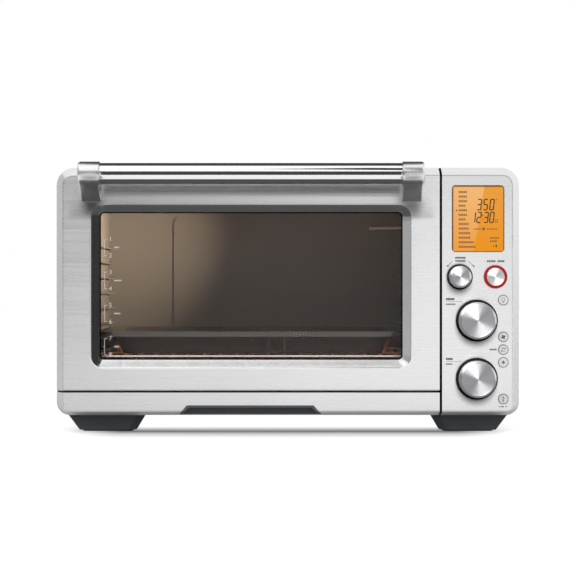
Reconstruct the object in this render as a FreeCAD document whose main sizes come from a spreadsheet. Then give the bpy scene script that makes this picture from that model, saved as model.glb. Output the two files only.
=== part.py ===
"""A countertop air fryer toaster oven, built of separate pieces.

Millimetres. +X is to the right and +Y to the back of someone who faces the oven, +Z is up.
The origin lies under the middle of the whole oven, on the surface that it stands on.
"""
import FreeCAD, Part
import math
import operator
import os
import Sketcher

document = FreeCAD.newDocument("countertop_oven")
sheet = document.addObject("Spreadsheet::Sheet", "sizes")
nodes = []


class Length:
    """A measurement: its number, and the formula of sheet values that the document keeps."""

    def __init__(self, number, formula):
        self.number = number
        self.formula = formula

    def __add__(self, other):
        return combined(self, "+", other)

    def __radd__(self, other):
        return combined(other, "+", self)

    def __sub__(self, other):
        return combined(self, "-", other)

    def __rsub__(self, other):
        return combined(other, "-", self)

    def __mul__(self, other):
        return combined(self, "*", other)

    def __rmul__(self, other):
        return combined(other, "*", self)

    def __truediv__(self, other):
        return combined(self, "/", other)

    def __neg__(self):
        return Length(-self.number, f"(-{self.formula})")


SIGNS = {"+": operator.add, "-": operator.sub, "*": operator.mul, "/": operator.truediv}


def measured(value):
    """A Length from a Length or from a plain number."""
    if isinstance(value, Length):
        return value
    return Length(float(value), repr(float(value)))


def combined(left, sign, right):
    left = measured(left)
    right = measured(right)
    number = SIGNS[sign](left.number, right.number)
    return Length(number, f"({left.formula} {sign} {right.formula})")


def middle(low, high):
    return (low + high) / 2


def size(name, value):
    """Writes one driving dimension into the sheet under its own name."""
    size.row += 1
    sheet.set(f"A{size.row}", name)
    sheet.set(f"B{size.row}", str(value))
    sheet.setAlias(f"B{size.row}", name)
    return Length(float(value), f"sizes.{name}")


size.row = 0

# Whole oven
body_width = size("body_width", 546)
body_height = size("body_height", 292)
foot_height = size("foot_height", 20)
overall_depth = size("overall_depth", 445)
handle_reach = size("handle_reach", 45)

# Front slab: door, tray front and control fascia are cut from one shallow pillow form
slab_depth = size("slab_depth", 26)
slab_rim = size("slab_rim", 6)
face_inset = size("face_inset", 9)
face_inset_bottom = size("face_inset_bottom", 5)
face_round = size("face_round", 2.5)
corner_top = size("corner_top", 21.5)
corner_bottom = size("corner_bottom", 15.5)
frame_gap = size("frame_gap", 2)
front_sheet = size("front_sheet", 1.2)
fascia_width = size("fascia_width", 92.4)
fascia_gap = size("fascia_gap", 2.8)
fascia_sheet = size("fascia_sheet", 2)
tray_front_height = size("tray_front_height", 27.5)
seam_gap = size("seam_gap", 2.1)

# Window in the door
window_margin_left = size("window_margin_left", 42.2)
window_margin_right = size("window_margin_right", 33.2)
window_margin_bottom = size("window_margin_bottom", 26.4)
window_margin_top = size("window_margin_top", 44.7)
window_corner = size("window_corner", 14.5)
bezel_depth = size("bezel_depth", 7)
bezel_side = size("bezel_side", 10.5)
bezel_top = size("bezel_top", 8.6)
bezel_bottom = size("bezel_bottom", 10.4)
glass_corner = size("glass_corner", 5.5)
glass_thickness = size("glass_thickness", 4)
glass_lap = size("glass_lap", 6)

# Door hinge, seal and magnets
hinge_inset = size("hinge_inset", 7)
hinge_rise = size("hinge_rise", 12)
hinge_pin_radius = size("hinge_pin_radius", 2.5)
hinge_eye_radius = size("hinge_eye_radius", 4.2)
hinge_arm_height = size("hinge_arm_height", 70)
hinge_sheet = size("hinge_sheet", 3)
hinge_side_gap = size("hinge_side_gap", 0.5)
hinge_clearance = size("hinge_clearance", 0.9)
hinge_margin_left = size("hinge_margin_left", 13.5)
hinge_margin_right = size("hinge_margin_right", 8.8)
door_heel = size("door_heel", 6)
door_toe = size("door_toe", 1.5)
seal_width = size("seal_width", 5)
seal_margin = size("seal_margin", 0.5)
seal_thickness = size("seal_thickness", 1.4)
seal_corner = size("seal_corner", 10)
magnet_radius = size("magnet_radius", 4.5)
magnet_thickness = size("magnet_thickness", 3)
magnet_spread = size("magnet_spread", 250)
magnet_drop = size("magnet_drop", 12)

# Door handle
handle_bar_radius = size("handle_bar_radius", 12.5)
handle_bar_wall = size("handle_bar_wall", 2)
handle_cap_radius = size("handle_cap_radius", 14)
handle_cap_width = size("handle_cap_width", 26.5)
handle_arm_width = size("handle_arm_width", 20.8)
handle_drop = size("handle_drop", 10)
handle_margin_left = size("handle_margin_left", 29.9)
handle_margin_right = size("handle_margin_right", 19.4)
handle_foot_drop = size("handle_foot_drop", 31.5)
handle_foot_rise = size("handle_foot_rise", 4)
handle_socket = size("handle_socket", 8)
screw_radius = size("screw_radius", 2.5)
screw_head_radius = size("screw_head_radius", 4.5)
screw_head_height = size("screw_head_height", 2.5)
screw_bite = size("screw_bite", 9)
screw_rise = size("screw_rise", 9.5)
screw_pitch = size("screw_pitch", 14)

# Casing
case_sheet = size("case_sheet", 0.8)
case_return = size("case_return", 108)
case_tab = size("case_tab", 12)
panel_recess = size("panel_recess", 4)
frame_sheet = size("frame_sheet", 1.5)
frame_margin = size("frame_margin", 16)
frame_bay_margin = size("frame_bay_margin", 8)
frame_corner = size("frame_corner", 4)
tray_slot_corner = size("tray_slot_corner", 1)
vent_width = size("vent_width", 4)
vent_height = size("vent_height", 50)
vent_pitch = size("vent_pitch", 9)
vent_corner = size("vent_corner", 1.8)
vent_count = size("vent_count", 7)
vent_rise = size("vent_rise", 160)
rear_screw_radius = size("rear_screw_radius", 1.7)
rear_head_radius = size("rear_head_radius", 3.5)
rear_head_height = size("rear_head_height", 1.6)
rear_screw_length = size("rear_screw_length", 5.7)

# Feet
foot_margin = size("foot_margin", 11.8)
foot_width = size("foot_width", 91.4)
foot_length = size("foot_length", 46)
foot_setback = size("foot_setback", 3)
foot_taper_outer = size("foot_taper_outer", 13.5)
foot_taper_inner = size("foot_taper_inner", 10.9)
foot_taper_front = size("foot_taper_front", 3)
foot_corner = size("foot_corner", 5)
foot_facet = size("foot_facet", 9.5)
foot_pad_thickness = size("foot_pad_thickness", 1.5)
foot_pad_margin = size("foot_pad_margin", 4)

# Cooking cavity
cavity_margin_left = size("cavity_margin_left", 30)
cavity_margin_right = size("cavity_margin_right", 20.8)
cavity_margin_top = size("cavity_margin_top", 26)
cavity_rise = size("cavity_rise", 14.4)
cavity_rear_space = size("cavity_rear_space", 27.5)
cavity_sheet = size("cavity_sheet", 0.8)
cavity_floor_rim = size("cavity_floor_rim", 18)
emboss_width = size("emboss_width", 224)
emboss_drop = size("emboss_drop", 19)
emboss_rise = size("emboss_rise", 38)
emboss_depth = size("emboss_depth", 2)
emboss_corner = size("emboss_corner", 12)
rail_width = size("rail_width", 9)
rail_sheet = size("rail_sheet", 1.2)
rail_count = size("rail_count", 8)
rail_pitch = size("rail_pitch", 19.56)
rail_first = size("rail_first", 21.5)
rail_end_gap = size("rail_end_gap", 8)

# Heating elements, lamp and probe
tube_radius = size("tube_radius", 5)
upper_tube_count = size("upper_tube_count", 4)
upper_tube_drop = size("upper_tube_drop", 8.5)
upper_tube_first = size("upper_tube_first", 58)
upper_tube_pitch = size("upper_tube_pitch", 70)
lower_tube_count = size("lower_tube_count", 2)
lower_tube_rise = size("lower_tube_rise", 11.5)
lower_tube_first = size("lower_tube_first", 88)
lower_tube_pitch = size("lower_tube_pitch", 140)
tube_cap_radius = size("tube_cap_radius", 8)
tube_cap_length = size("tube_cap_length", 14)
tube_cap_end = size("tube_cap_end", 3)
lamp_radius = size("lamp_radius", 18)
lamp_neck_radius = size("lamp_neck_radius", 14.5)
lamp_dome = size("lamp_dome", 5)
lamp_shoulder = size("lamp_shoulder", 4)
lamp_rim = size("lamp_rim", 1.7)
lamp_neck = size("lamp_neck", 5)
lamp_setback = size("lamp_setback", 58)
lamp_drop = size("lamp_drop", 36)
lamp_depth = size("lamp_depth", 14)
probe_radius = size("probe_radius", 2.5)
probe_length = size("probe_length", 48)
probe_collar_radius = size("probe_collar_radius", 6)
probe_collar_length = size("probe_collar_length", 5)
probe_inset = size("probe_inset", 40)

# Fans
fan_setback = size("fan_setback", 16.5)
fan_wall_radius = size("fan_wall_radius", 62)
fan_flange_radius = size("fan_flange_radius", 80)
fan_housing_radius = size("fan_housing_radius", 72)
fan_housing_depth = size("fan_housing_depth", 32)
fan_sheet = size("fan_sheet", 1.2)
grille_sheet = size("grille_sheet", 1)
grille_slot_count = size("grille_slot_count", 20)
grille_slot_width = size("grille_slot_width", 5)
grille_slot_start = size("grille_slot_start", 24)
grille_slot_end = size("grille_slot_end", 56)
grille_slot_corner = size("grille_slot_corner", 2.2)
impeller_radius = size("impeller_radius", 60)
impeller_depth = size("impeller_depth", 14)
impeller_gap = size("impeller_gap", 5)
impeller_hub_radius = size("impeller_hub_radius", 12)
blade_count = size("blade_count", 10)
blade_thickness = size("blade_thickness", 2)
motor_radius = size("motor_radius", 30)
motor_length = size("motor_length", 42)
shaft_radius = size("shaft_radius", 3)
shaft_bite = size("shaft_bite", 14)
cooler_width = size("cooler_width", 60)
cooler_depth = size("cooler_depth", 15)
cooler_bore_radius = size("cooler_bore_radius", 28)
cooler_rotor_radius = size("cooler_rotor_radius", 26.5)
cooler_hub_radius = size("cooler_hub_radius", 11)
cooler_pin_radius = size("cooler_pin_radius", 1.5)
cooler_strut = size("cooler_strut", 3)
cooler_rise = size("cooler_rise", 70)
cooler_blade_count = size("cooler_blade_count", 7)

# Rack, pan and crumb tray
rack_wire_radius = size("rack_wire_radius", 2.4)
rack_grid_radius = size("rack_grid_radius", 1.3)
rack_cross_radius = size("rack_cross_radius", 1.6)
rack_grid_count = size("rack_grid_count", 19)
rack_side_gap = size("rack_side_gap", 4)
rack_corner = size("rack_corner", 14)
rack_setback = size("rack_setback", 42.6)
rack_end_gap = size("rack_end_gap", 10)
pan_rim_width = size("pan_rim_width", 384)
pan_rim_length = size("pan_rim_length", 300)
pan_rim_height = size("pan_rim_height", 6)
pan_height = size("pan_height", 27)
pan_mouth_width = size("pan_mouth_width", 346)
pan_mouth_length = size("pan_mouth_length", 272)
pan_floor_width = size("pan_floor_width", 322)
pan_floor_length = size("pan_floor_length", 250)
pan_sheet = size("pan_sheet", 1.2)
pan_corner = size("pan_corner", 26)
pan_setback = size("pan_setback", 5)
tray_rise = size("tray_rise", 9)
tray_height = size("tray_height", 12)
tray_sheet = size("tray_sheet", 1)
tray_side_gap = size("tray_side_gap", 6)
tray_end_gap = size("tray_end_gap", 15)
tray_runner_width = size("tray_runner_width", 12)
grip_width = size("grip_width", 170.5)
grip_offset = size("grip_offset", 3.5)
grip_height = size("grip_height", 12.6)
grip_slope = size("grip_slope", 11)
grip_wall = size("grip_wall", 2.6)
grip_depth = size("grip_depth", 14)

# Control panel
display_width = size("display_width", 61.1)
display_height = size("display_height", 77.9)
display_drop = size("display_drop", 21.9)
display_offset = size("display_offset", -4.05)
display_corner = size("display_corner", 4)
display_recess = size("display_recess", 0.6)
display_thickness = size("display_thickness", 2)
select_offset = size("select_offset", -25.8)
select_drop = size("select_drop", 129)
start_offset = size("start_offset", 16.2)
knob_offset = size("knob_offset", -5.8)
time_knob_rise = size("time_knob_rise", 43.8)
temp_knob_lift = size("temp_knob_lift", 8.5)
button_offset = size("button_offset", 25.4)
button_pitch = size("button_pitch", 14.9)
light_button_drop = size("light_button_drop", 1.6)
phase_button_rise = size("phase_button_rise", 20.1)
skirt_radius = size("skirt_radius", 24.5)
skirt_thickness = size("skirt_thickness", 3.5)
skirt_gap = size("skirt_gap", 0.8)
knob_radius = size("knob_radius", 21.5)
knob_face_radius = size("knob_face_radius", 19.15)
knob_reach = size("knob_reach", 22)
knob_bevel = size("knob_bevel", 3)
select_skirt_radius = size("select_skirt_radius", 15)
select_radius = size("select_radius", 12.8)
select_face_radius = size("select_face_radius", 10.25)
select_reach = size("select_reach", 18)
select_gap = size("select_gap", 2.2)
select_travel = size("select_travel", 1.5)
plunger_radius = size("plunger_radius", 1.5)
spindle_radius = size("spindle_radius", 3)
start_ring_radius = size("start_ring_radius", 13.65)
start_ring_proud = size("start_ring_proud", 3)
start_ring_flange = size("start_ring_flange", 15.5)
start_radius = size("start_radius", 10.3)
start_proud = size("start_proud", 4)
button_radius = size("button_radius", 6.05)
button_proud = size("button_proud", 1.2)
button_flange = size("button_flange", 1.2)
button_travel = size("button_travel", 1)
button_side_gap = size("button_side_gap", 0.25)
stem_radius = size("stem_radius", 2)
flange_thickness = size("flange_thickness", 1.2)
board_setback = size("board_setback", 12)
board_thickness = size("board_thickness", 1.6)
board_margin = size("board_margin", 9.5)
board_margin_top = size("board_margin_top", 14)
board_margin_bottom = size("board_margin_bottom", 8)
post_radius = size("post_radius", 3)
encoder_width = size("encoder_width", 13)
switch_width = size("switch_width", 6)
switch_height = size("switch_height", 4)

# Power supply and cord entry
supply_margin = size("supply_margin", 14)
supply_length = size("supply_length", 100)
supply_rise = size("supply_rise", 8)
transformer_width = size("transformer_width", 36)
transformer_height = size("transformer_height", 28)
capacitor_radius = size("capacitor_radius", 8)
capacitor_height = size("capacitor_height", 25)
inlet_bore_radius = size("inlet_bore_radius", 4.2)
inlet_neck_radius = size("inlet_neck_radius", 8.8)
inlet_flange_radius = size("inlet_flange_radius", 11)
inlet_proud = size("inlet_proud", 3.5)
inlet_depth = size("inlet_depth", 8)
inlet_margin = size("inlet_margin", 100)
inlet_rise = size("inlet_rise", 24)

# Fits
running_fit = size("running_fit", 0.05)
sheet_fit = size("sheet_fit", 0.2)
seat_gap = size("seat_gap", 0.3)
easy_gap = size("easy_gap", 1)

# Planes and edges that many pieces share
left = -body_width / 2
right = body_width / 2
bottom = foot_height
top = foot_height + body_height
rear = overall_depth / 2
face = handle_reach - overall_depth / 2
slab_back = face + slab_depth
frame_front = slab_back + frame_gap
frame_back = frame_front + frame_sheet
fascia_left = right - fascia_width
door_right = fascia_left - fascia_gap
tray_top = bottom + tray_front_height
door_bottom = tray_top + seam_gap
panel_back = rear - panel_recess
panel_front = panel_back - case_sheet
cavity_left = left + cavity_margin_left
cavity_right = door_right - cavity_margin_right
cavity_bottom = door_bottom + cavity_rise
cavity_top = top - cavity_margin_top
cavity_back = rear - cavity_rear_space
cavity_span = (cavity_left, cavity_right)
wall_outside = cavity_right + cavity_sheet
window_span = (left + window_margin_left, door_right - window_margin_right)
window_rise = (door_bottom + window_margin_bottom, top - window_margin_top)
view_span = (window_span[0] + bezel_side, window_span[1] - bezel_side)
view_rise = (window_rise[0] + bezel_bottom, window_rise[1] - bezel_top)
glass_front = face + bezel_depth
glass_back = glass_front + glass_thickness
inner_frame_front = slab_back - front_sheet
hinge_y = face + hinge_inset
hinge_z = door_bottom + hinge_rise
base_top = bottom + case_sheet * 2
rack_z = cavity_bottom + rail_first + seat_gap + rack_wire_radius
rack_front = face + rack_setback
rack_back = cavity_back - rack_end_gap


def bind(thing, name, value):
    thing.setExpression(name, measured(value).formula)


def keep(thing, name):
    """Gives a finished piece its name and puts it on the list of pieces."""
    thing.Label = name
    nodes.append(thing)
    return thing


def box(name, x, y, z):
    """A block between a low and a high value along each axis."""
    block = document.addObject("Part::Box", name)
    for side, axis, span in zip(("Length", "Width", "Height"), "xyz", (x, y, z)):
        bind(block, side, span[1] - span[0])
        bind(block, "Placement.Base." + axis, span[0])
    return block


TURNS = {
    "x": FreeCAD.Rotation(FreeCAD.Vector(0, 1, 0), 90),
    "y": FreeCAD.Rotation(FreeCAD.Vector(1, 0, 0), -90),
    "z": FreeCAD.Rotation(),
}


def rod(name, along, across, radius, low, high):
    """A round bar along one axis; across holds its place along the other two, in order."""
    bar = document.addObject("Part::Cylinder", name)
    bar.Placement = FreeCAD.Placement(FreeCAD.Vector(), TURNS[along])
    bind(bar, "Radius", radius)
    bind(bar, "Height", high - low)
    place = dict(zip([axis for axis in "xyz" if axis != along], across))
    place[along] = low
    for axis, value in place.items():
        bind(bar, "Placement.Base." + axis, value)
    return bar


def fuse(name, *pieces):
    joined = document.addObject("Part::MultiFuse", name)
    joined.Shapes = list(pieces)
    return joined


def cut(name, base, *tools):
    result = document.addObject("Part::Cut", name)
    result.Base = base
    result.Tool = tools[0] if len(tools) == 1 else fuse(name + "_tools", *tools)
    return result


def common(name, first, second):
    result = document.addObject("Part::Common", name)
    result.Base = first
    result.Tool = second
    return result


def group(name, *pieces):
    """Separate solids kept as one piece of the list."""
    bundle = document.addObject("Part::Compound", name)
    bundle.Links = list(pieces)
    return bundle


def new_body(name):
    return document.addObject("PartDesign::Body", name)


def sketch_on(body, name, plane, at):
    """A sketch on one of the body's own planes, moved along that plane's axis to a place."""
    sketch = body.newObject("Sketcher::SketchObject", name)
    role = plane + "_Plane"
    support = next(part for part in body.Origin.OriginFeatures if part.Role == role)
    sketch.AttachmentSupport = [(support, "")]
    sketch.MapMode = "FlatFace"
    bind(sketch, "AttachmentOffset.Base.z", -at if plane == "XZ" else at)
    return sketch


def constrain(sketch, kind, value, *where):
    index = sketch.addConstraint(Sketcher.Constraint(kind, *where, value.number))
    bind(sketch, f"Constraints[{index}]", value)


def pin_point(sketch, line, end, point):
    """Holds one end of a line at a place measured from the sketch's origin."""
    across, up = (measured(value) for value in point)
    constrain(sketch, "DistanceX", across, -1, 1, line, end)
    constrain(sketch, "DistanceY", up, -1, 1, line, end)


def vector(point):
    across, up = (measured(value) for value in point)
    return FreeCAD.Vector(across.number, up.number, 0)


def polygon(sketch, corners):
    first = sketch.GeometryCount
    points = [vector(corner) for corner in corners]
    for start, end in zip(points, points[1:] + points[:1]):
        sketch.addGeometry(Part.LineSegment(start, end), False)
    for index, corner in enumerate(corners):
        before = first + (index - 1) % len(corners)
        sketch.addConstraint(Sketcher.Constraint("Coincident", before, 2, first + index, 1))
        pin_point(sketch, first + index, 1, corner)


def circle(sketch, centre, radius):
    radius = measured(radius)
    ring = Part.Circle(vector(centre), FreeCAD.Vector(0, 0, 1), radius.number)
    index = sketch.addGeometry(ring, False)
    pin_point(sketch, index, 3, centre)
    constrain(sketch, "Radius", radius, index)


def rounded(sketch, across, up, radii):
    """A rectangle with round corners; the radii run from bottom left, anticlockwise."""
    first = sketch.GeometryCount
    x0, x1, y0, y1 = (measured(value).number for value in (*across, *up))
    r0, r1, r2, r3 = (measured(value).number for value in radii)
    starts = ((x0 + r0, y0), (x1, y0 + r1), (x1 - r2, y1), (x0, y1 - r3))
    ends = ((x1 - r1, y0), (x1, y1 - r2), (x0 + r3, y1), (x0, y0 + r0))
    centres = ((x1 - r1, y0 + r1), (x1 - r2, y1 - r2), (x0 + r3, y1 - r3), (x0 + r0, y0 + r0))
    for turn, radius in enumerate((r1, r2, r3, r0)):
        line = Part.LineSegment(FreeCAD.Vector(*starts[turn], 0), FreeCAD.Vector(*ends[turn], 0))
        sketch.addGeometry(line, False)
        ring = Part.Circle(FreeCAD.Vector(*centres[turn], 0), FreeCAD.Vector(0, 0, 1), radius)
        begin = (turn - 1) * math.pi / 2
        sketch.addGeometry(Part.ArcOfCircle(ring, begin, begin + math.pi / 2), False)
    for edge in range(8):
        following = first + (edge + 1) % 8
        sketch.addConstraint(Sketcher.Constraint("Tangent", first + edge, 2, following, 1))
    for line, kind in zip((0, 2, 4, 6), ("Horizontal", "Vertical", "Horizontal", "Vertical")):
        sketch.addConstraint(Sketcher.Constraint(kind, first + line))
    constrain(sketch, "DistanceY", measured(up[0]), -1, 1, first, 1)
    constrain(sketch, "DistanceX", measured(across[1]), -1, 1, first + 2, 1)
    constrain(sketch, "DistanceY", measured(up[1]), -1, 1, first + 4, 1)
    constrain(sketch, "DistanceX", measured(across[0]), -1, 1, first + 6, 1)
    for arc, radius in zip((1, 3, 5, 7), (radii[1], radii[2], radii[3], radii[0])):
        constrain(sketch, "Radius", measured(radius), first + arc)


def pad(body, name, plane, low, high, draw):
    """Adds a drawn outline as material between two places along the plane's axis."""
    sketch = sketch_on(body, name + "_outline", plane, high if plane == "XZ" else low)
    draw(sketch)
    feature = body.newObject("PartDesign::Pad", name)
    feature.Profile = sketch
    bind(feature, "Length", high - low)
    body.Tip = feature
    return feature


def pocket(body, name, plane, low, high, draw):
    """Takes a drawn outline out of the body between two places along the plane's axis."""
    sketch = sketch_on(body, name + "_outline", plane, low if plane == "XZ" else high)
    draw(sketch)
    feature = body.newObject("PartDesign::Pocket", name)
    feature.Profile = sketch
    bind(feature, "Length", high - low)
    body.Tip = feature
    return feature


def loft(body, name, kind, plane, sections):
    """A straight-sided loft through outlines; each section is a place and a drawing."""
    sketches = []
    for index, (at, draw) in enumerate(sections):
        sketch = sketch_on(body, f"{name}_section_{index}", plane, at)
        draw(sketch)
        sketches.append(sketch)
    feature = body.newObject("PartDesign::" + kind, name)
    feature.Profile = sketches[0]
    feature.Sections = sketches[1:]
    feature.Ruled = True
    body.Tip = feature
    return feature


def turned(name, along, across, outline):
    """A round piece: an outline of (radius, place along the axis) turned about its axis."""
    body = new_body(name)
    turn = {"x": (0, 0, 1, -90), "y": (0, 0, 1, 0), "z": (1, 0, 0, 90)}[along]
    body.Placement = FreeCAD.Placement(
        FreeCAD.Vector(), FreeCAD.Rotation(FreeCAD.Vector(*turn[:3]), turn[3])
    )
    for axis, value in zip([axis for axis in "xyz" if axis != along], across):
        bind(body, "Placement.Base." + axis, value)
    sketch = sketch_on(body, name + "_outline", "XY", measured(0))
    polygon(sketch, outline)
    feature = body.newObject("PartDesign::Revolution", name + "_turned")
    feature.Profile = sketch
    feature.ReferenceAxis = (sketch, ["V_Axis"])
    feature.Angle = 360
    body.Tip = feature
    return body


def plate(name, plane, low, high, draw):
    """A body with one padded outline."""
    body = new_body(name)
    pad(body, name + "_sheet", plane, low, high, draw)
    return body


def grown(span, amount):
    """A span made longer by an amount at each end."""
    return (span[0] - amount, span[1] + amount)


def even_outline(across, up, radius):
    """A drawing of a rectangle whose four corners are alike."""
    def draw(sketch):
        rounded(sketch, across, up, (radius,) * 4)
    return draw


def corners_outline(*corners):
    """A drawing of a straight-sided outline."""
    def draw(sketch):
        polygon(sketch, corners)
    return draw


def number(value):
    return int(value.number)


# Front slab

def slab_outline(inset, inset_bottom):
    """The whole front's outline, drawn in from the full width."""
    upper = corner_top - inset
    lower = corner_bottom - inset

    def draw(sketch):
        up = (bottom + inset_bottom, top - inset)
        rounded(sketch, (left + inset, right - inset), up, (lower, lower, upper, upper))
    return draw


def slab(name, wall, front):
    """The pillow form of the whole front, drawn in by a wall, with its front at a place."""
    body = new_body(name)
    rim = slab_outline(wall, wall)
    sections = (
        (frame_front, rim),
        (slab_back - slab_rim, rim),
        (front, slab_outline(face_inset + wall, face_inset_bottom + wall)),
    )
    loft(body, name + "_loft", "AdditiveLoft", "XZ", sections)
    return body


def soften_front(body, name, radius, at):
    """Rounds the edges of a body that lie in the plane at one place along Y."""
    document.recompute()
    base = body.Tip
    edges = [f"Edge{index}" for index, edge in enumerate(base.Shape.Edges, 1)
             if all(abs(corner.Y - at.number) < 1e-4 for corner in edge.Vertexes)]
    fillet = body.newObject("PartDesign::Fillet", name)
    fillet.Base = (base, edges)
    bind(fillet, "Radius", radius)
    body.Tip = fillet


front_form = slab("front_form", measured(0), face)
soften_front(front_form, "front_edge", face_round, face)
front_hollow = slab("front_hollow", front_sheet, face + front_sheet)
fascia_hollow = slab("fascia_hollow", fascia_sheet, face + fascia_sheet)

hinge_spans = (
    (left + hinge_margin_left, left + hinge_margin_left + hinge_sheet),
    (door_right - hinge_margin_right - hinge_sheet, door_right - hinge_margin_right),
)
arm_spans = (
    (hinge_spans[0][1] + hinge_side_gap, hinge_spans[0][1] + hinge_side_gap + hinge_sheet),
    (hinge_spans[1][0] - hinge_side_gap - hinge_sheet, hinge_spans[1][0] - hinge_side_gap),
)


def hinge_notch(name, span):
    """The room that a fixed hinge bracket needs in the turning door."""
    reach = hinge_eye_radius + hinge_clearance
    return box(name, grown(span, hinge_clearance), (hinge_y - reach, frame_front),
               (bottom, hinge_z + reach))


# Door

handle_y = face - handle_reach + handle_cap_radius
handle_z = top - handle_drop
cap_spans = (
    (left + handle_margin_left, left + handle_margin_left + handle_cap_width),
    (door_right - handle_margin_right - handle_cap_width, door_right - handle_margin_right),
)
# High enough on the arm that the screw's hole stays inside the sloping lower flank
handle_screw_low = handle_z - handle_foot_drop + screw_rise
# Where the nose's round starts and ends, about; the flanks that touch it settle the rest
nose_turns = (math.radians(71), math.radians(243))


def door_region(name, wall):
    """The door's share of the front, with its bottom edge cut off at the heel and the toe."""
    low = door_bottom + wall
    toe = face + wall
    outline = corners_outline(
        (toe + door_toe, low), (slab_back - door_heel, low), (slab_back, low + door_heel),
        (slab_back, top), (toe, top), (toe, low + door_toe),
    )
    return plate(name, "YZ", left, door_right - wall, outline)


def window_funnel(name, grow):
    """The sloping mouth of the window, made larger by a wall."""
    body = new_body(name)
    mouth = even_outline(grown(window_span, grow), grown(window_rise, grow), window_corner + grow)
    view = even_outline(grown(view_span, grow), grown(view_rise, grow), glass_corner + grow)
    sections = ((glass_front, view), (face, mouth))
    loft(body, name + "_loft", "AdditiveLoft", "XZ", sections)
    return body


def handle_screw_places():
    """The middle of each screw that holds the handle, across and up."""
    for span in cap_spans:
        for step in range(2):
            yield middle(*span), handle_screw_low + screw_pitch * step


def door_shell():
    blank = common("door_blank", front_form, door_region("door_region", measured(0)))
    hollow = common("door_hollow", front_hollow, door_region("door_space", front_sheet))
    collar = window_funnel("window_collar", front_sheet)
    openings = [window_funnel("window_mouth", measured(0))]
    for index, span in enumerate(hinge_spans):
        openings.append(hinge_notch(f"shell_notch_{index}", span))
    for index, place in enumerate(handle_screw_places()):
        hole = rod(f"shell_screw_hole_{index}", "y", place, screw_radius + running_fit,
                   face, face + front_sheet)
        openings.append(hole)
    shell = fuse("door_shell_form", cut("door_shell_blank", blank, hollow), collar)
    return cut("door_shell", shell, *openings)


def door_inner_frame():
    edge = front_sheet + sheet_fit
    across = (left + edge, door_right - edge)
    up = (door_bottom + door_heel + edge, top - edge)
    corner = corner_top - edge

    def outline(sketch):
        rounded(sketch, across, up, (glass_corner, glass_corner, glass_corner, corner))
    sheet_body = plate("inner_frame_sheet", "XZ", inner_frame_front, slab_back, outline)
    tunnel = plate("inner_frame_tunnel", "XZ", glass_back, slab_back, even_outline(
        grown(view_span, easy_gap + front_sheet), grown(view_rise, easy_gap + front_sheet),
        glass_corner + easy_gap + front_sheet))
    view = plate("inner_frame_view", "XZ", glass_back, slab_back, even_outline(
        grown(view_span, easy_gap), grown(view_rise, easy_gap), glass_corner + easy_gap))
    openings = [view]
    for index, span in enumerate(hinge_spans):
        openings.append(hinge_notch(f"frame_notch_{index}", span))
    for index, x in enumerate(magnet_places()):
        openings.append(rod(f"magnet_hole_{index}", "y", (x, magnet_z),
                            magnet_radius + running_fit, inner_frame_front, slab_back))
    return cut("door_inner_frame", fuse("inner_frame_form", sheet_body, tunnel), *openings)


magnet_z = view_rise[0] - magnet_drop


def magnet_places():
    centre = middle(*view_span)
    return (centre - magnet_spread / 2, centre + magnet_spread / 2)


def rack_magnets():
    magnets = []
    for index, x in enumerate(magnet_places()):
        magnets.append(rod(f"magnet_{index}", "y", (x, magnet_z), magnet_radius,
                           slab_back - magnet_thickness, slab_back))
    return group("rack_magnets", *magnets)


def door_glass():
    outline = even_outline(grown(view_span, glass_lap), grown(view_rise, glass_lap),
                           glass_corner + glass_lap)
    return plate("door_glass", "XZ", glass_front, glass_back, outline)


def door_seal():
    inner = seal_margin
    outer = seal_margin + seal_width
    up = (cavity_bottom, cavity_top)
    body = plate("door_seal", "XZ", slab_back, slab_back + seal_thickness,
                 even_outline(grown(cavity_span, outer), grown(up, outer), seal_corner))
    pocket(body, "seal_mouth", "XZ", slab_back, slab_back + seal_thickness,
           even_outline(grown(cavity_span, inner), grown(up, inner), seal_corner - seal_width))
    return body


def hinge_arms():
    arms = []
    for index, span in enumerate(arm_spans):
        eye = rod(f"arm_eye_{index}", "x", (hinge_y, hinge_z), hinge_eye_radius, *span)
        blade = box(f"arm_blade_{index}", span, (hinge_y - hinge_eye_radius, inner_frame_front),
                    (hinge_z, hinge_z + hinge_arm_height))
        bore = rod(f"arm_bore_{index}", "x", (hinge_y, hinge_z),
                   hinge_pin_radius + running_fit, *span)
        arms.append(cut(f"hinge_arm_{index}", fuse(f"arm_form_{index}", eye, blade), bore))
    return group("hinge_arms", *arms)


def handle_bar():
    span = (cap_spans[0][1] - handle_socket, cap_spans[1][0] + handle_socket)
    outside = rod("bar_outside", "x", (handle_y, handle_z), handle_bar_radius, *span)
    inside = rod("bar_inside", "x", (handle_y, handle_z), handle_bar_radius - handle_bar_wall, *span)
    return cut("handle_bar", outside, inside)


def arm_profile(sketch):
    """The side of a handle arm: a round nose about the bar and two flanks back to the door."""
    nose = Part.Circle(vector((handle_y, handle_z)), FreeCAD.Vector(0, 0, 1), handle_cap_radius.number)
    arc = sketch.addGeometry(Part.ArcOfCircle(nose, *nose_turns), False)
    ends = [sketch.Geometry[arc].StartPoint, sketch.Geometry[arc].EndPoint]
    feet = ((face, handle_z + handle_foot_rise), (face, handle_z - handle_foot_drop))
    flanks = []
    for foot, end in zip(feet, ends):
        flanks.append(sketch.addGeometry(Part.LineSegment(vector(foot), end), False))
    back = sketch.addGeometry(Part.LineSegment(vector(feet[0]), vector(feet[1])), False)
    pin_point(sketch, arc, 3, (handle_y, handle_z))
    constrain(sketch, "Radius", handle_cap_radius, arc)
    for side, foot in enumerate(feet):
        pin_point(sketch, flanks[side], 1, foot)
        sketch.addConstraint(Sketcher.Constraint("Tangent", flanks[side], 2, arc, side + 1))
        sketch.addConstraint(Sketcher.Constraint("Coincident", back, side + 1, flanks[side], 1))


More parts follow.
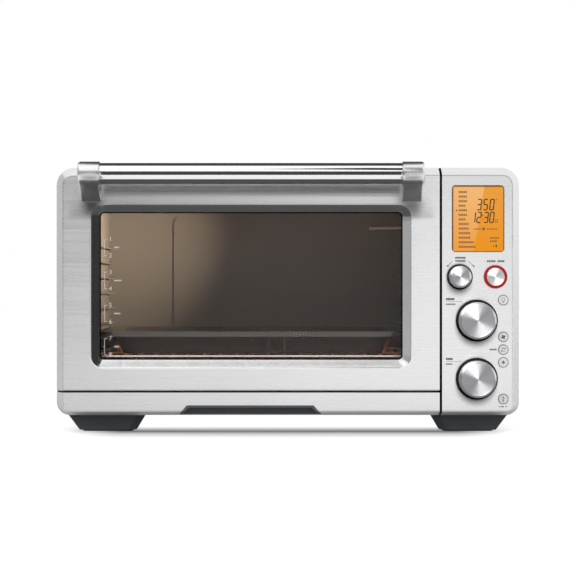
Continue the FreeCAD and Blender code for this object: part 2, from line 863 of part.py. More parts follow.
def handle_bracket(name, span, socket):
    """A cap round the bar's end in one casting with the arm that stands on the door."""
    body = new_body(name)
    arm = (middle(*span) - handle_arm_width / 2, middle(*span) + handle_arm_width / 2)
    centre = (handle_y, handle_z)
    pad(body, name + "_arm", "YZ", *arm, arm_profile)
    pad(body, name + "_cap", "YZ", *span, lambda sketch: circle(sketch, centre, handle_cap_radius))
    holes = [rod(name + "_socket", "x", centre, handle_bar_radius + running_fit, *socket)]
    for step in range(2):
        place = (middle(*span), handle_screw_low + screw_pitch * step)
        holes.append(rod(f"{name}_screw_hole_{step}", "y", place, screw_radius + running_fit,
                         face - screw_bite - easy_gap, face))
    return cut(name + "_drilled", body, *holes)


def handle_screws():
    screws = []
    for index, place in enumerate(handle_screw_places()):
        inside = face + front_sheet
        shank = rod(f"screw_shank_{index}", "y", place, screw_radius, face - screw_bite, inside)
        head = rod(f"screw_head_{index}", "y", place, screw_head_radius, inside,
                   inside + screw_head_height)
        screws.append(fuse(f"handle_screw_{index}", shank, head))
    return group("handle_screws", *screws)


keep(door_shell(), "door_shell")
keep(door_inner_frame(), "door_inner_frame")
keep(door_glass(), "door_glass")
keep(door_seal(), "door_seal")
keep(rack_magnets(), "rack_magnets")
keep(hinge_arms(), "hinge_arms")
keep(handle_bar(), "handle_bar")
keep(handle_bracket("handle_left", cap_spans[0], (cap_spans[0][1] - handle_socket, cap_spans[0][1])),
     "handle_bracket_left")
keep(handle_bracket("handle_right", cap_spans[1], (cap_spans[1][0], cap_spans[1][0] + handle_socket)),
     "handle_bracket_right")
keep(handle_screws(), "handle_screws")


# Casing

screw_rises = tuple(bottom + body_height * part / 4 for part in (1, 2, 3))


def case_outline(inset):
    def draw(sketch):
        lower = corner_bottom - inset
        upper = corner_top - inset
        rounded(sketch, (left + inset, right - inset), (bottom + inset, top - inset),
                (lower, lower, upper, upper))
    return draw


def rear_screw_places():
    for side in (-1, 1):
        x = (body_width / 2 - case_sheet - case_tab / 2) * side
        for rise in screw_rises:
            yield x, rise


def vent_row(body, name, plane, low, high, slot, direction, pitch):
    """A row of equal slots through a wall."""
    first = pocket(body, name, plane, low, high, slot)
    row = body.newObject("PartDesign::LinearPattern", name + "_row")
    row.Originals = [first]
    row.Direction = (first.Profile[0], [direction])
    bind(row, "Length", pitch * (vent_count - 1))
    bind(row, "Occurrences", vent_count)
    body.Tip = row


def outer_case():
    body = plate("case_wrap", "XZ", frame_front, rear, case_outline(measured(0)))
    pocket(body, "case_inside", "XZ", frame_front, rear, case_outline(case_sheet))
    slot = (left + case_return, right - case_return)
    pocket(body, "case_slot", "XZ", frame_front, rear, corners_outline(
        (slot[0], bottom), (slot[1], bottom), (slot[1], bottom + case_sheet),
        (slot[0], bottom + case_sheet)))
    vent_low = bottom + vent_rise
    start = (panel_front - vent_pitch * (vent_count + 1), panel_front - vent_pitch * (vent_count + 1)
             + vent_width)
    vent_row(body, "case_vent", "YZ", right - case_sheet, right,
             even_outline(start, (vent_low, vent_low + vent_height), vent_corner),
             "H_Axis", vent_pitch)
    tabs = []
    holes = []
    for index, (x, z) in enumerate(rear_screw_places()):
        half = case_tab / 2
        tabs.append(box(f"case_tab_{index}", (x - half, x + half),
                        (panel_front - frame_sheet, panel_front), (z - half, z + half)))
        holes.append(rod(f"case_tab_hole_{index}", "y", (x, z), rear_screw_radius + running_fit,
                         panel_front - frame_sheet, panel_front))
    return cut("outer_case", fuse("case_with_tabs", body, *tabs), *holes)


def inner_edge():
    return case_sheet + sheet_fit


cooler_x = middle(wall_outside, right)
cooler_z = bottom + cooler_rise
inlet_place = (right - inlet_margin, bottom + inlet_rise)


def back_panel():
    body = plate("back_sheet", "XZ", panel_front, panel_back, case_outline(inner_edge()))
    start = cooler_x - vent_pitch * (vent_count - 1) / 2 - vent_width / 2
    vent_row(body, "back_vent", "XZ", panel_front, panel_back,
             even_outline((start, start + vent_width),
                          (cooler_z - vent_height / 2, cooler_z + vent_height / 2),
                          vent_corner),
             "H_Axis", vent_pitch)
    holes = [rod("inlet_hole", "y", inlet_place, inlet_neck_radius + running_fit,
                 panel_front, panel_back)]
    for index, place in enumerate(rear_screw_places()):
        holes.append(rod(f"panel_screw_hole_{index}", "y", place,
                         rear_screw_radius + running_fit, panel_front, panel_back))
    return cut("back_panel", body, *holes)


def case_screws():
    screws = []
    for index, place in enumerate(rear_screw_places()):
        shank = rod(f"rear_shank_{index}", "y", place, rear_screw_radius,
                    panel_back - rear_screw_length, panel_back)
        head = rod(f"rear_head_{index}", "y", place, rear_head_radius, panel_back,
                   panel_back + rear_head_height)
        screws.append(fuse(f"rear_screw_{index}", shank, head))
    return group("case_screws", *screws)


tray_span = (cavity_left + tray_side_gap, cavity_right - tray_side_gap)
tray_floor = bottom + tray_rise
tray_back = cavity_back - tray_end_gap


def base_plate():
    """The floor of the case, with the runners and guides for the crumb tray welded on it."""
    across = (left + corner_bottom, right - corner_bottom)
    floor = box("base_sheet", across, (frame_back, panel_front), (base_top - case_sheet, base_top))
    runners = []
    for index, x in enumerate((tray_span[0], tray_span[1] - tray_runner_width)):
        runners.append(box(f"tray_runner_{index}", (x, x + tray_runner_width),
                           (frame_back, tray_back), (base_top, tray_floor - seat_gap)))
    guides = ((tray_span[0] - easy_gap - case_sheet, tray_span[0] - easy_gap),
              (tray_span[1] + easy_gap, tray_span[1] + easy_gap + case_sheet))
    for index, span in enumerate(guides):
        runners.append(box(f"tray_guide_{index}", span, (frame_back, tray_back),
                           (base_top, tray_floor + tray_height / 2)))
    return group("base_plate", floor, *runners)


bay_span = (fascia_left + frame_bay_margin, right - frame_margin)


def front_frame():
    """The frame behind the door and the panel: uprights, and the rails welded between them."""
    body = plate("frame_sheet_body", "XZ", frame_front, frame_back, case_outline(inner_edge()))
    mouths = (
        ("frame_mouth", cavity_span, (cavity_bottom, cavity_top), frame_corner),
        ("frame_bay", bay_span, (bottom + frame_margin, top - frame_margin),
         frame_corner),
        ("frame_tray_slot", cavity_span,
         (tray_floor - easy_gap, tray_floor + tray_height + easy_gap), tray_slot_corner),
    )
    for name, across, up, radius in mouths:
        pocket(body, name, "XZ", frame_front, frame_back, even_outline(across, up, radius))
    seams = (left, *cavity_span, *bay_span, right)
    strips = []
    for index, across in enumerate(zip(seams, seams[1:])):
        region = box(f"frame_region_{index}", across, (frame_front, frame_back), (bottom, top))
        strips.append(common(f"frame_strips_{index}", body, region))
    return group("front_frame", *strips)


def facet_outline(x, y, out_x, in_y):
    """The triangle that cuts a foot's corner at x and y; it reaches a little past both outer faces."""
    past = easy_gap
    return corners_outline(
        (x + past * out_x, y - past * in_y),
        (x - (foot_facet + past) * out_x, y - past * in_y),
        (x + past * out_x, y + (foot_facet + past) * in_y),
    )


def foot(name, side):
    """One foot, wide at the case and narrower at the ground; side is -1 on the left."""
    def build(row, front, back):
        outer = left + foot_margin
        inner = outer + foot_width
        spans = ((outer + foot_taper_outer, inner - foot_taper_inner), (outer, inner))
        if side > 0:
            spans = tuple((-span[1], -span[0]) for span in spans)
        body = new_body(f"{name}_{row}")
        low = (front + foot_taper_front, back - foot_taper_front)
        sections = (
            (foot_pad_thickness, even_outline(spans[0], low, foot_corner)),
            (bottom, even_outline(spans[1], (front, back), foot_corner)),
        )
        loft(body, f"{name}_{row}_loft", "AdditiveLoft", "XY", sections)
        end = 0 if row == "front" else 1
        inside = 1 if side < 0 else 0
        corner = new_body(f"{name}_{row}_corner")
        loft(corner, f"{name}_{row}_corner_loft", "AdditiveLoft", "XY", (
            (foot_pad_thickness, facet_outline(spans[0][inside], low[end], -side, 1 - 2 * end)),
            (bottom, facet_outline(spans[1][inside], (front, back)[end], -side, 1 - 2 * end)),
        ))
        pad_body = plate(f"{name}_{row}_pad", "XY", measured(0), foot_pad_thickness, even_outline(
            (spans[0][0] + foot_pad_margin, spans[0][1] - foot_pad_margin),
            (low[0] + foot_pad_margin, low[1] - foot_pad_margin), foot_corner))
        return cut(f"{name}_{row}_form", body, corner), pad_body
    front_start = frame_front + foot_setback
    rear_start = rear - foot_setback - foot_length
    return (build("front", front_start, front_start + foot_length),
            build("rear", rear_start, rear_start + foot_length))


def feet():
    sides = [foot("foot_left", -1), foot("foot_right", 1)]
    for row, name in enumerate(("front_feet", "rear_feet")):
        keep(group(name, *[side[row][0] for side in sides]), name)
    pads = [side[row][1] for side in sides for row in range(2)]
    keep(group("foot_pads", *pads), "foot_pads")


def hinge_brackets():
    """A bar out of the frame with an eye, and the pin that the door's arm turns on."""
    brackets = []
    for index, (span, arm) in enumerate(zip(hinge_spans, arm_spans)):
        bar = box(f"bracket_bar_{index}", span, (hinge_y, frame_front),
                  (hinge_z - hinge_eye_radius, hinge_z + hinge_eye_radius))
        eye = rod(f"bracket_eye_{index}", "x", (hinge_y, hinge_z), hinge_eye_radius, *span)
        reach = (span[0], arm[1] + easy_gap) if index == 0 else (arm[0] - easy_gap, span[1])
        pin = rod(f"hinge_pin_{index}", "x", (hinge_y, hinge_z), hinge_pin_radius, *reach)
        brackets.append(fuse(f"hinge_bracket_{index}", bar, eye, pin))
    return group("hinge_brackets", *brackets)


def cord_inlet():
    back = panel_back + inlet_proud
    outline = (
        (inlet_bore_radius, panel_front - inlet_depth), (inlet_bore_radius, back),
        (inlet_flange_radius, back), (inlet_flange_radius, panel_back),
        (inlet_neck_radius, panel_back), (inlet_neck_radius, panel_front),
        (inlet_flange_radius, panel_front), (inlet_flange_radius, panel_front - inlet_depth),
    )
    return turned("cord_inlet", "y", inlet_place, outline)


keep(outer_case(), "outer_case")
keep(back_panel(), "back_panel")
keep(case_screws(), "case_screws")
keep(base_plate(), "base_plate")
keep(front_frame(), "front_frame")
feet()
keep(hinge_brackets(), "hinge_brackets")
keep(cord_inlet(), "cord_inlet")


# Cooking cavity

upper_tube_z = cavity_top - upper_tube_drop
lower_tube_z = cavity_bottom + lower_tube_rise
fan_y = middle(frame_back, cavity_back) + fan_setback
fan_z = middle(cavity_bottom, cavity_top)
fan_place = (fan_y, fan_z)
lamp_place = (frame_back + lamp_setback, cavity_top - lamp_drop)
probe_place = (cavity_back - probe_inset, cavity_top - lamp_drop)


def tube_places():
    """The middle of each heating tube, back and up."""
    for step in range(number(upper_tube_count)):
        yield frame_back + upper_tube_first + upper_tube_pitch * step, upper_tube_z
    for step in range(number(lower_tube_count)):
        yield frame_back + lower_tube_first + lower_tube_pitch * step, lower_tube_z


def cavity_liner():
    shell = box("liner_outside", grown(cavity_span, cavity_sheet),
                (frame_back, cavity_back + cavity_sheet),
                grown((cavity_bottom, cavity_top), cavity_sheet))
    space = box("liner_inside", cavity_span, (frame_back, cavity_back), (cavity_bottom, cavity_top))
    rim = cavity_floor_rim
    crumb_hole = box("liner_crumb_hole", (cavity_left + rim, cavity_right - rim),
                     (frame_back + rim, cavity_back - rim),
                     (cavity_bottom - cavity_sheet, cavity_bottom))
    centre = middle(*cavity_span)
    emboss = plate("liner_emboss", "XZ", cavity_back - emboss_depth, cavity_back, even_outline(
        (centre - emboss_width / 2, centre + emboss_width / 2),
        (cavity_bottom + emboss_rise, cavity_top - emboss_drop), emboss_corner))
    walls = ((cavity_left - cavity_sheet, cavity_left), (cavity_right, wall_outside))
    holes = [crumb_hole]
    for index, place in enumerate(tube_places()):
        for side, span in enumerate(walls):
            holes.append(rod(f"tube_hole_{index}_{side}", "x", place, tube_radius + easy_gap, *span))
    holes.append(rod("fan_hole", "x", fan_place, fan_wall_radius, *walls[1]))
    holes.append(rod("lamp_hole", "x", lamp_place, lamp_neck_radius + sheet_fit, *walls[1]))
    holes.append(rod("probe_hole", "x", probe_place, probe_radius + sheet_fit, *walls[1]))
    return cut("cavity_liner", fuse("liner_form", cut("liner_box", shell, space), emboss), *holes)


def rack_rails():
    rails = []
    sides = ((cavity_left, cavity_left + rail_width), (cavity_right - rail_width, cavity_right))
    for level in range(number(rail_count)):
        height = cavity_bottom + rail_first + rail_pitch * level
        for side, span in enumerate(sides):
            rails.append(box(f"rail_{level}_{side}", span,
                             (frame_back + rail_end_gap, cavity_back - rail_end_gap),
                             (height - rail_sheet, height)))
    return group("rack_rails", *rails)


def elements():
    reach = (cavity_left - tube_cap_length, cavity_right + tube_cap_length)
    tubes = [rod(f"tube_{index}", "x", place, tube_radius, *reach)
             for index, place in enumerate(tube_places())]
    upper = number(upper_tube_count)
    keep(group("upper_elements", *tubes[:upper]), "upper_elements")
    keep(group("lower_elements", *tubes[upper:]), "lower_elements")


def element_caps():
    caps = []
    for index, place in enumerate(tube_places()):
        bore = tube_radius + running_fit
        for side, start, sign in (("left", cavity_left - cavity_sheet, -1), ("right", wall_outside, 1)):
            tube_end = cavity_left - tube_cap_length if sign < 0 else cavity_right + tube_cap_length
            cap_end = tube_end + tube_cap_end * sign
            caps.append(turned(f"cap_{index}_{side}", "x", place, (
                (bore, start), (tube_cap_radius, start), (tube_cap_radius, cap_end),
                (0, cap_end), (0, tube_end), (bore, tube_end),
            )))
    return group("element_caps", *caps)


def lamp_lens():
    rim = cavity_right - lamp_rim
    return turned("lamp_lens", "x", lamp_place, (
        (0, cavity_right - lamp_dome), (lamp_neck_radius, cavity_right - lamp_shoulder),
        (lamp_radius, rim), (lamp_radius, cavity_right), (lamp_neck_radius, cavity_right),
        (lamp_neck_radius, wall_outside + lamp_neck), (0, wall_outside + lamp_neck),
    ))


def lamp_holder():
    bore = lamp_neck_radius + sheet_fit
    end = wall_outside + lamp_depth
    return turned("lamp_holder", "x", lamp_place, (
        (bore, wall_outside), (lamp_radius, wall_outside), (lamp_radius, end), (0, end),
        (0, end - fan_sheet), (bore, end - fan_sheet),
    ))


def temperature_probe():
    tip = cavity_right - probe_length
    end = wall_outside + probe_collar_length
    return turned("temperature_probe", "x", probe_place, (
        (0, tip), (probe_radius, tip), (probe_radius, wall_outside),
        (probe_collar_radius, wall_outside), (probe_collar_radius, end), (0, end),
    ))


housing_start = wall_outside + grille_sheet
housing_end = housing_start + fan_housing_depth


def around(body, feature, count):
    """Repeats a feature evenly about the axis square to its sketch."""
    ring = body.newObject("PartDesign::PolarPattern", feature.Name + "_ring")
    ring.Originals = [feature]
    ring.Axis = (feature.Profile[0], ["N_Axis"])
    ring.Angle = 360
    bind(ring, "Occurrences", count)
    body.Tip = ring


def placed_body(name, x, y, z):
    body = new_body(name)
    for axis, value in zip("xyz", (x, y, z)):
        bind(body, "Placement.Base." + axis, value)
    return body


def fan_grille():
    body = placed_body("fan_grille", wall_outside, *fan_place)
    zero = measured(0)
    pad(body, "grille_disc", "YZ", zero, grille_sheet,
        lambda sketch: circle(sketch, (0, 0), fan_flange_radius))
    half = grille_slot_width / 2
    slot = even_outline((-half, half), (grille_slot_start, grille_slot_end), grille_slot_corner)
    around(body, pocket(body, "grille_slot", "YZ", zero, grille_sheet, slot), grille_slot_count)
    return body


def fan_housing():
    inside = fan_housing_radius - fan_sheet
    shaft_hole = shaft_radius + easy_gap
    return turned("fan_housing", "x", fan_place, (
        (inside, housing_start), (fan_flange_radius, housing_start),
        (fan_flange_radius, housing_start + fan_sheet),
        (fan_housing_radius, housing_start + fan_sheet), (fan_housing_radius, housing_end),
        (shaft_hole, housing_end), (shaft_hole, housing_end - fan_sheet),
        (inside, housing_end - fan_sheet),
    ))


def fan_motor():
    bore = shaft_radius + running_fit
    end = housing_end + motor_length
    return turned("fan_motor", "x", fan_place, (
        (bore, housing_end), (motor_radius, housing_end), (motor_radius, end), (0, end),
        (0, housing_end + shaft_bite + easy_gap), (bore, housing_end + shaft_bite + easy_gap),
    ))


def convection_impeller():
    start = housing_start + impeller_gap
    body = placed_body("convection_impeller", start, *fan_place)
    disc = (impeller_depth - blade_thickness, impeller_depth)
    pad(body, "impeller_disc", "YZ", *disc, lambda sketch: circle(sketch, (0, 0), impeller_radius))
    pad(body, "impeller_hub", "YZ", measured(0), impeller_depth,
        lambda sketch: circle(sketch, (0, 0), impeller_hub_radius))
    pad(body, "impeller_shaft", "YZ", measured(0), housing_end + shaft_bite - start,
        lambda sketch: circle(sketch, (0, 0), shaft_radius))
    half = blade_thickness / 2
    blade = corners_outline((-half, impeller_hub_radius - half), (half, impeller_hub_radius - half),
                            (half, impeller_radius - half), (-half, impeller_radius - half))
    around(body, pad(body, "impeller_blade", "YZ", measured(0), impeller_depth, blade), blade_count)
    return body


def cooling_fan_frame():
    front = panel_front - cooler_depth
    half = cooler_width / 2
    place = (cooler_x, cooler_z)
    block = box("cooler_block", (cooler_x - half, cooler_x + half), (front, panel_front),
                (cooler_z - half, cooler_z + half))
    bore = rod("cooler_bore", "y", place, cooler_bore_radius, front, panel_front)
    strut = cooler_strut / 2
    back = (panel_front - cooler_strut, panel_front)
    struts = (
        box("cooler_strut_across", (cooler_x - half, cooler_x + half), back,
            (cooler_z - strut, cooler_z + strut)),
        box("cooler_strut_up", (cooler_x - strut, cooler_x + strut), back,
            (cooler_z - half, cooler_z + half)),
        rod("cooler_boss", "y", place, cooler_hub_radius, *back),
        rod("cooler_pin", "y", place, cooler_pin_radius, front + cooler_strut, panel_front),
    )
    return fuse("cooling_fan_frame", cut("cooler_ring", block, bore), *struts)


def cooling_fan_rotor():
    start = panel_front - cooler_depth + easy_gap
    depth = cooler_depth - cooler_strut - easy_gap * 2
    body = placed_body("cooling_fan_rotor", cooler_x, start, cooler_z)
    pad(body, "rotor_hub", "XZ", measured(0), depth,
        lambda sketch: circle(sketch, (0, 0), cooler_hub_radius))
    half = blade_thickness / 2
    root = cooler_hub_radius - half
    blade = corners_outline((-half, root), (half, root), (half, cooler_rotor_radius),
                            (-half, cooler_rotor_radius))
    around(body, pad(body, "rotor_blade", "XZ", easy_gap, depth, blade), cooler_blade_count)
    bore = pocket(body, "rotor_bore", "XZ", cooler_strut - easy_gap, depth,
                  lambda sketch: circle(sketch, (0, 0), cooler_pin_radius + running_fit))
    body.Tip = bore
    return body


keep(cavity_liner(), "cavity_liner")
keep(rack_rails(), "rack_rails")
elements()
keep(element_caps(), "element_caps")
keep(lamp_lens(), "lamp_lens")
keep(lamp_holder(), "lamp_holder")
keep(temperature_probe(), "temperature_probe")
keep(fan_grille(), "fan_grille")
keep(fan_housing(), "fan_housing")
keep(fan_motor(), "fan_motor")
keep(convection_impeller(), "convection_impeller")
keep(cooling_fan_frame(), "cooling_fan_frame")
keep(cooling_fan_rotor(), "cooling_fan_rotor")


# Rack, pan and crumb tray

rack_span = (cavity_left + rack_side_gap, cavity_right - rack_side_gap)


def wire_rack():
    """A wire hoop that rests on two rails, with straight wires from its front to its back."""
    frame = new_body("rack_hoop")
    centre = grown(rack_span, -rack_wire_radius)
    depth = grown((rack_front, rack_back), -rack_wire_radius)
    path = sketch_on(frame, "rack_path", "XY", rack_z)
    rounded(path, centre, depth, (rack_corner,) * 4)
    wire = sketch_on(frame, "rack_section", "YZ", middle(*centre))
    circle(wire, (depth[0], rack_z), rack_wire_radius)
    document.recompute()
    hoop = frame.newObject("PartDesign::AdditivePipe", "rack_pipe")
    hoop.Profile = wire
    hoop.Spine = path
    frame.Tip = hoop
    wires = []
    height = rack_z + rack_wire_radius - rack_grid_radius
    pitch = (rack_span[1] - rack_span[0]) / (rack_grid_count + 1)
    for index in range(1, number(rack_grid_count) + 1):
        place = (rack_span[0] + pitch * index, height)
        wires.append(rod(f"rack_wire_{index}", "y", place, rack_grid_radius, *depth))
    cross = rod("rack_cross_wire", "x", (middle(*depth), height - rack_cross_radius),
                rack_cross_radius, *centre)
    return fuse("wire_rack", frame, cross, *wires)


pan_floor = rack_z + rack_wire_radius + seat_gap
pan_top = pan_floor + pan_height


def pan_outline(width, length, wall):
    """The pan's outline from above at one height, drawn in by a wall."""
    centre = middle(*rack_span)
    middle_y = rack_front + pan_setback + pan_rim_length / 2
    across = grown((centre - width / 2, centre + width / 2), -wall)
    depth = grown((middle_y - length / 2, middle_y + length / 2), -wall)
    return even_outline(across, depth, pan_corner - wall)


def pan_bowl(name, floor, wall):
    body = new_body(name)
    loft(body, name + "_loft", "AdditiveLoft", "XY", (
        (floor, pan_outline(pan_floor_width, pan_floor_length, wall)),
        (pan_top, pan_outline(pan_mouth_width, pan_mouth_length, wall)),
    ))
    return body


def roasting_pan():
    bowl = pan_bowl("pan_bowl", pan_floor, measured(0))
    inside = pan_bowl("pan_inside", pan_floor + pan_sheet, pan_sheet)
    rim_low = pan_top - pan_rim_height
    rim = plate("pan_rim_form", "XY", rim_low, pan_top,
                pan_outline(pan_rim_width, pan_rim_length, measured(0)))
    under = plate("pan_rim_under", "XY", rim_low, pan_top - pan_sheet,
                  pan_outline(pan_rim_width, pan_rim_length, pan_sheet))
    return cut("roasting_pan", fuse("pan_form", cut("pan_rim", rim, under), bowl), inside)


def crumb_tray():
    """The tray's floor, the strips welded round its edge and the plate that closes its front."""
    inside = grown(tray_span, -tray_sheet)
    rise = (tray_floor + tray_sheet, tray_floor + tray_height)
    along = (slab_back, tray_back)
    strips = [box("tray_sheet_floor", tray_span, along, (tray_floor, rise[0]))]
    for index, across in enumerate(((tray_span[0], inside[0]), (inside[1], tray_span[1]))):
        strips.append(box(f"tray_side_{index}", across, along, rise))
    strips.append(box("tray_end", inside, (tray_back - tray_sheet, tray_back), rise))
    edge = front_sheet + sheet_fit
    flange = box("tray_flange", (left + corner_bottom, door_right - edge),
                 (slab_back - front_sheet, slab_back), (bottom + edge, tray_top - edge))
    return group("crumb_tray", *strips, flange)


grip_centre = middle(left, door_right) + grip_offset


def grip_outline(inset):
    """The finger grip's sloping outline, drawn in by a wall."""
    half = grip_width / 2 - inset
    crown = bottom + grip_height - inset
    return corners_outline(
        (grip_centre - half, bottom), (grip_centre + half, bottom),
        (grip_centre + half - grip_slope, crown), (grip_centre - half + grip_slope, crown),
    )


def tray_region(name, wall, back):
    return box(name, (left, door_right - wall), (face, back), (bottom, tray_top - wall))


def crumb_tray_front():
    blank = common("tray_front_blank", front_form, tray_region("tray_region", measured(0), slab_back))
    hollow = common("tray_front_hollow", front_hollow, tray_region("tray_space", front_sheet, slab_back))
    mouth = plate("tray_grip_mouth", "XZ", face, face + grip_depth, grip_outline(measured(0)))
    return cut("crumb_tray_front", cut("tray_front_shell", blank, hollow), mouth)


def crumb_tray_grip():
    front = face + front_sheet
    back = face + grip_depth
    block = plate("grip_block", "XZ", front, back, grip_outline(sheet_fit))
    form = common("grip_form", front_form, block)
    space = plate("grip_space", "XZ", front, back - grip_wall, grip_outline(grip_wall))
    return cut("crumb_tray_grip", form, space)


keep(wire_rack(), "wire_rack")
keep(roasting_pan(), "roasting_pan")
keep(crumb_tray(), "crumb_tray")
keep(crumb_tray_front(), "crumb_tray_front")
keep(crumb_tray_grip(), "crumb_tray_grip")


# Control panel

panel_centre = middle(fascia_left, right)
knob_x = panel_centre + knob_offset
select_x = panel_centre + select_offset
start_x = panel_centre + start_offset
button_x = panel_centre + button_offset
select_z = top - select_drop
time_z = bottom + time_knob_rise
temp_z = middle(select_z, time_z) + temp_knob_lift
rotate_z = middle(temp_z, time_z)
display_centre = panel_centre + display_offset
display_span = (display_centre - display_width / 2, display_centre + display_width / 2)
display_rise = (top - display_drop - display_height, top - display_drop)
fascia_back = face + fascia_sheet
board_front = face + board_setback
board_span = (fascia_left + board_margin, right - board_margin)
board_rise = (bottom + board_margin_bottom, top - board_margin_top)
switch_front = board_front - switch_height
stem_end = switch_front - button_travel - sheet_fit
spindle_places = ((select_x, select_z), (knob_x, temp_z), (knob_x, time_z))
small_buttons = {
    "light_button": middle(select_z, temp_z) - light_button_drop,
    "fan_button": rotate_z + button_pitch,
    "rotate_button": rotate_z,
    "frozen_button": rotate_z - button_pitch,
    "phase_button": bottom + phase_button_rise,
}


def control_fascia():
    region = box("fascia_region", (fascia_left, right), (face, frame_front), (bottom, top))
    space = box("fascia_space", (fascia_left + fascia_sheet, right), (face, frame_front), (bottom, top))
    blank = common("fascia_blank", front_form, region)
    hollow = common("fascia_room", fascia_hollow, space)
    posts = []
    for index, x in enumerate(grown(board_span, -post_radius)):
        for step, z in enumerate(grown(board_rise, -post_radius)):
            posts.append(rod(f"board_post_{index}_{step}", "y", (x, z), post_radius,
                             face + fascia_sheet / 2, board_front))
    holes = [plate("display_mouth", "XZ", face, fascia_back, even_outline(
        grown(display_span, sheet_fit), grown(display_rise, sheet_fit), display_corner + sheet_fit))]
    for index, place in enumerate(spindle_places):
        holes.append(rod(f"spindle_hole_{index}", "y", place, spindle_radius + easy_gap,
                         face, fascia_back))
    holes.append(rod("start_hole", "y", (start_x, select_z), start_ring_radius + running_fit,
                     face, fascia_back))
    for name, height in small_buttons.items():
        holes.append(rod(name + "_hole", "y", (button_x, height), button_radius + button_side_gap,
                         face, fascia_back))
    shell = fuse("fascia_form", cut("fascia_shell", blank, hollow), *posts)
    return cut("control_fascia", shell, *holes)


def display_lens():
    front = face + display_recess
    return plate("display_lens", "XZ", front, front + display_thickness,
                 even_outline(display_span, display_rise, display_corner))


def display_module():
    return box("display_module", display_span,
               (face + display_recess + display_thickness, board_front), display_rise)


def control_board():
    return box("control_board", board_span, (board_front, board_front + board_thickness), board_rise)


def encoder_bodies():
    bodies = []
    half = encoder_width / 2
    for index, (x, z) in enumerate(spindle_places):
        block = box(f"encoder_block_{index}", (x - half, x + half), (fascia_back, board_front),
                    (z - half, z + half))
        bore = rod(f"encoder_bore_{index}", "y", (x, z), spindle_radius + running_fit,
                   fascia_back, board_front)
        bodies.append(cut(f"encoder_{index}", block, bore))
    return group("encoder_bodies", *bodies)


def button_switches():
    switches = []
    half = switch_width / 2
    places = [(start_x, select_z)] + [(button_x, height) for height in small_buttons.values()]
    for index, (x, z) in enumerate(places):
        switches.append(box(f"switch_{index}", (x - half, x + half), (switch_front, board_front),
                            (z - half, z + half)))
    return group("button_switches", *switches)


def knob_cap(name, x, z, gap, radius, face_radius, reach):
    """The spun metal cap of a knob, bevelled round its front."""
    back = face - gap - skirt_thickness
    front = face - reach
    return turned(name, "y", (x, z), (
        (0, front), (face_radius, front), (radius, front + knob_bevel), (radius, back), (0, back)))


def knob_skirt(name, x, z, skirt, gap, bore, spindle_end):
    """The dark base of a knob with the spindle that it turns on."""
    front = face - gap - skirt_thickness
    back = face - gap
    return turned(name, "y", (x, z), (
        (bore, front), (skirt, front), (skirt, back), (spindle_radius, back),
        (spindle_radius, spindle_end), (bore, spindle_end)))


def knobs():
    end = board_front - select_travel - seat_gap
    bore = plunger_radius + running_fit
    keep(knob_cap("select_knob_cap", select_x, select_z, select_gap, select_radius,
                  select_face_radius, select_reach), "select_knob")
    keep(knob_skirt("select_knob_base", select_x, select_z, select_skirt_radius, select_gap,
                    bore, end), "select_knob_skirt")
    for name, z in (("temp_knob", temp_z), ("time_knob", time_z)):
        keep(knob_cap(name + "_cap", knob_x, z, skirt_gap, knob_radius, knob_face_radius,
                      knob_reach), name)
        keep(knob_skirt(name + "_base", knob_x, z, skirt_radius, skirt_gap, measured(0), end),
             name + "_skirt")
    plunger_start = face - select_gap - skirt_thickness + seat_gap
    keep(rod("select_pin", "y", (select_x, select_z), plunger_radius, plunger_start, end),
         "select_plunger")


def start_ring():
    bore = start_radius + button_side_gap
    front = face - start_ring_proud
    return turned("start_ring_form", "y", (start_x, select_z), (
        (bore, front), (start_ring_radius, front), (start_ring_radius, fascia_back),
        (start_ring_flange, fascia_back), (start_ring_flange, fascia_back + flange_thickness),
        (bore, fascia_back + flange_thickness)))


def button(name, place, radius, proud, behind):
    """A button: its face, the flange that keeps it in, and the stem over its switch."""
    flange = radius + button_flange
    start = behind + sheet_fit
    return turned(name, "y", place, (
        (0, face - proud), (radius, face - proud), (radius, start), (flange, start),
        (flange, start + flange_thickness), (stem_radius, start + flange_thickness),
        (stem_radius, stem_end), (0, stem_end)))


def buttons():
    keep(button("start_button_form", (start_x, select_z), start_radius, start_proud,
                fascia_back + flange_thickness), "start_button")
    for name, height in small_buttons.items():
        keep(button(name + "_form", (button_x, height), button_radius, button_proud, fascia_back),
             name)


def power_board():
    across = (wall_outside + supply_margin, right - supply_margin)
    depth = (frame_back + supply_margin, frame_back + supply_margin + supply_length)
    floor = base_top + supply_rise
    card = box("supply_card", across, depth, (floor, floor + board_thickness))
    pieces = []
    for index, x in enumerate(grown(across, -post_radius)):
        for step, y in enumerate(grown(depth, -post_radius)):
            pieces.append(rod(f"supply_post_{index}_{step}", "z", (x, y), post_radius,
                              base_top, floor))
    card_top = floor + board_thickness
    transformer = box("supply_transformer",
                      (across[0] + supply_margin, across[0] + supply_margin + transformer_width),
                      (depth[1] - supply_margin - transformer_width, depth[1] - supply_margin),
                      (card_top, card_top + transformer_height))
    capacitor = rod("supply_capacitor", "z",
                    (across[1] - supply_margin, depth[0] + supply_margin + capacitor_radius),
                    capacitor_radius, card_top, card_top + capacitor_height)
    return fuse("power_board", card, transformer, capacitor, *pieces)


keep(control_fascia(), "control_fascia")
keep(display_lens(), "display_lens")
keep(display_module(), "display_module")
keep(control_board(), "control_board")
keep(encoder_bodies(), "encoder_bodies")
keep(button_switches(), "button_switches")
knobs()
keep(start_ring(), "start_ring")
buttons()
keep(power_board(), "power_board")


# Checks and files

def failed_objects():
    return [thing.Name for thing in document.Objects
            if "Invalid" in thing.State or "Error" in thing.State]


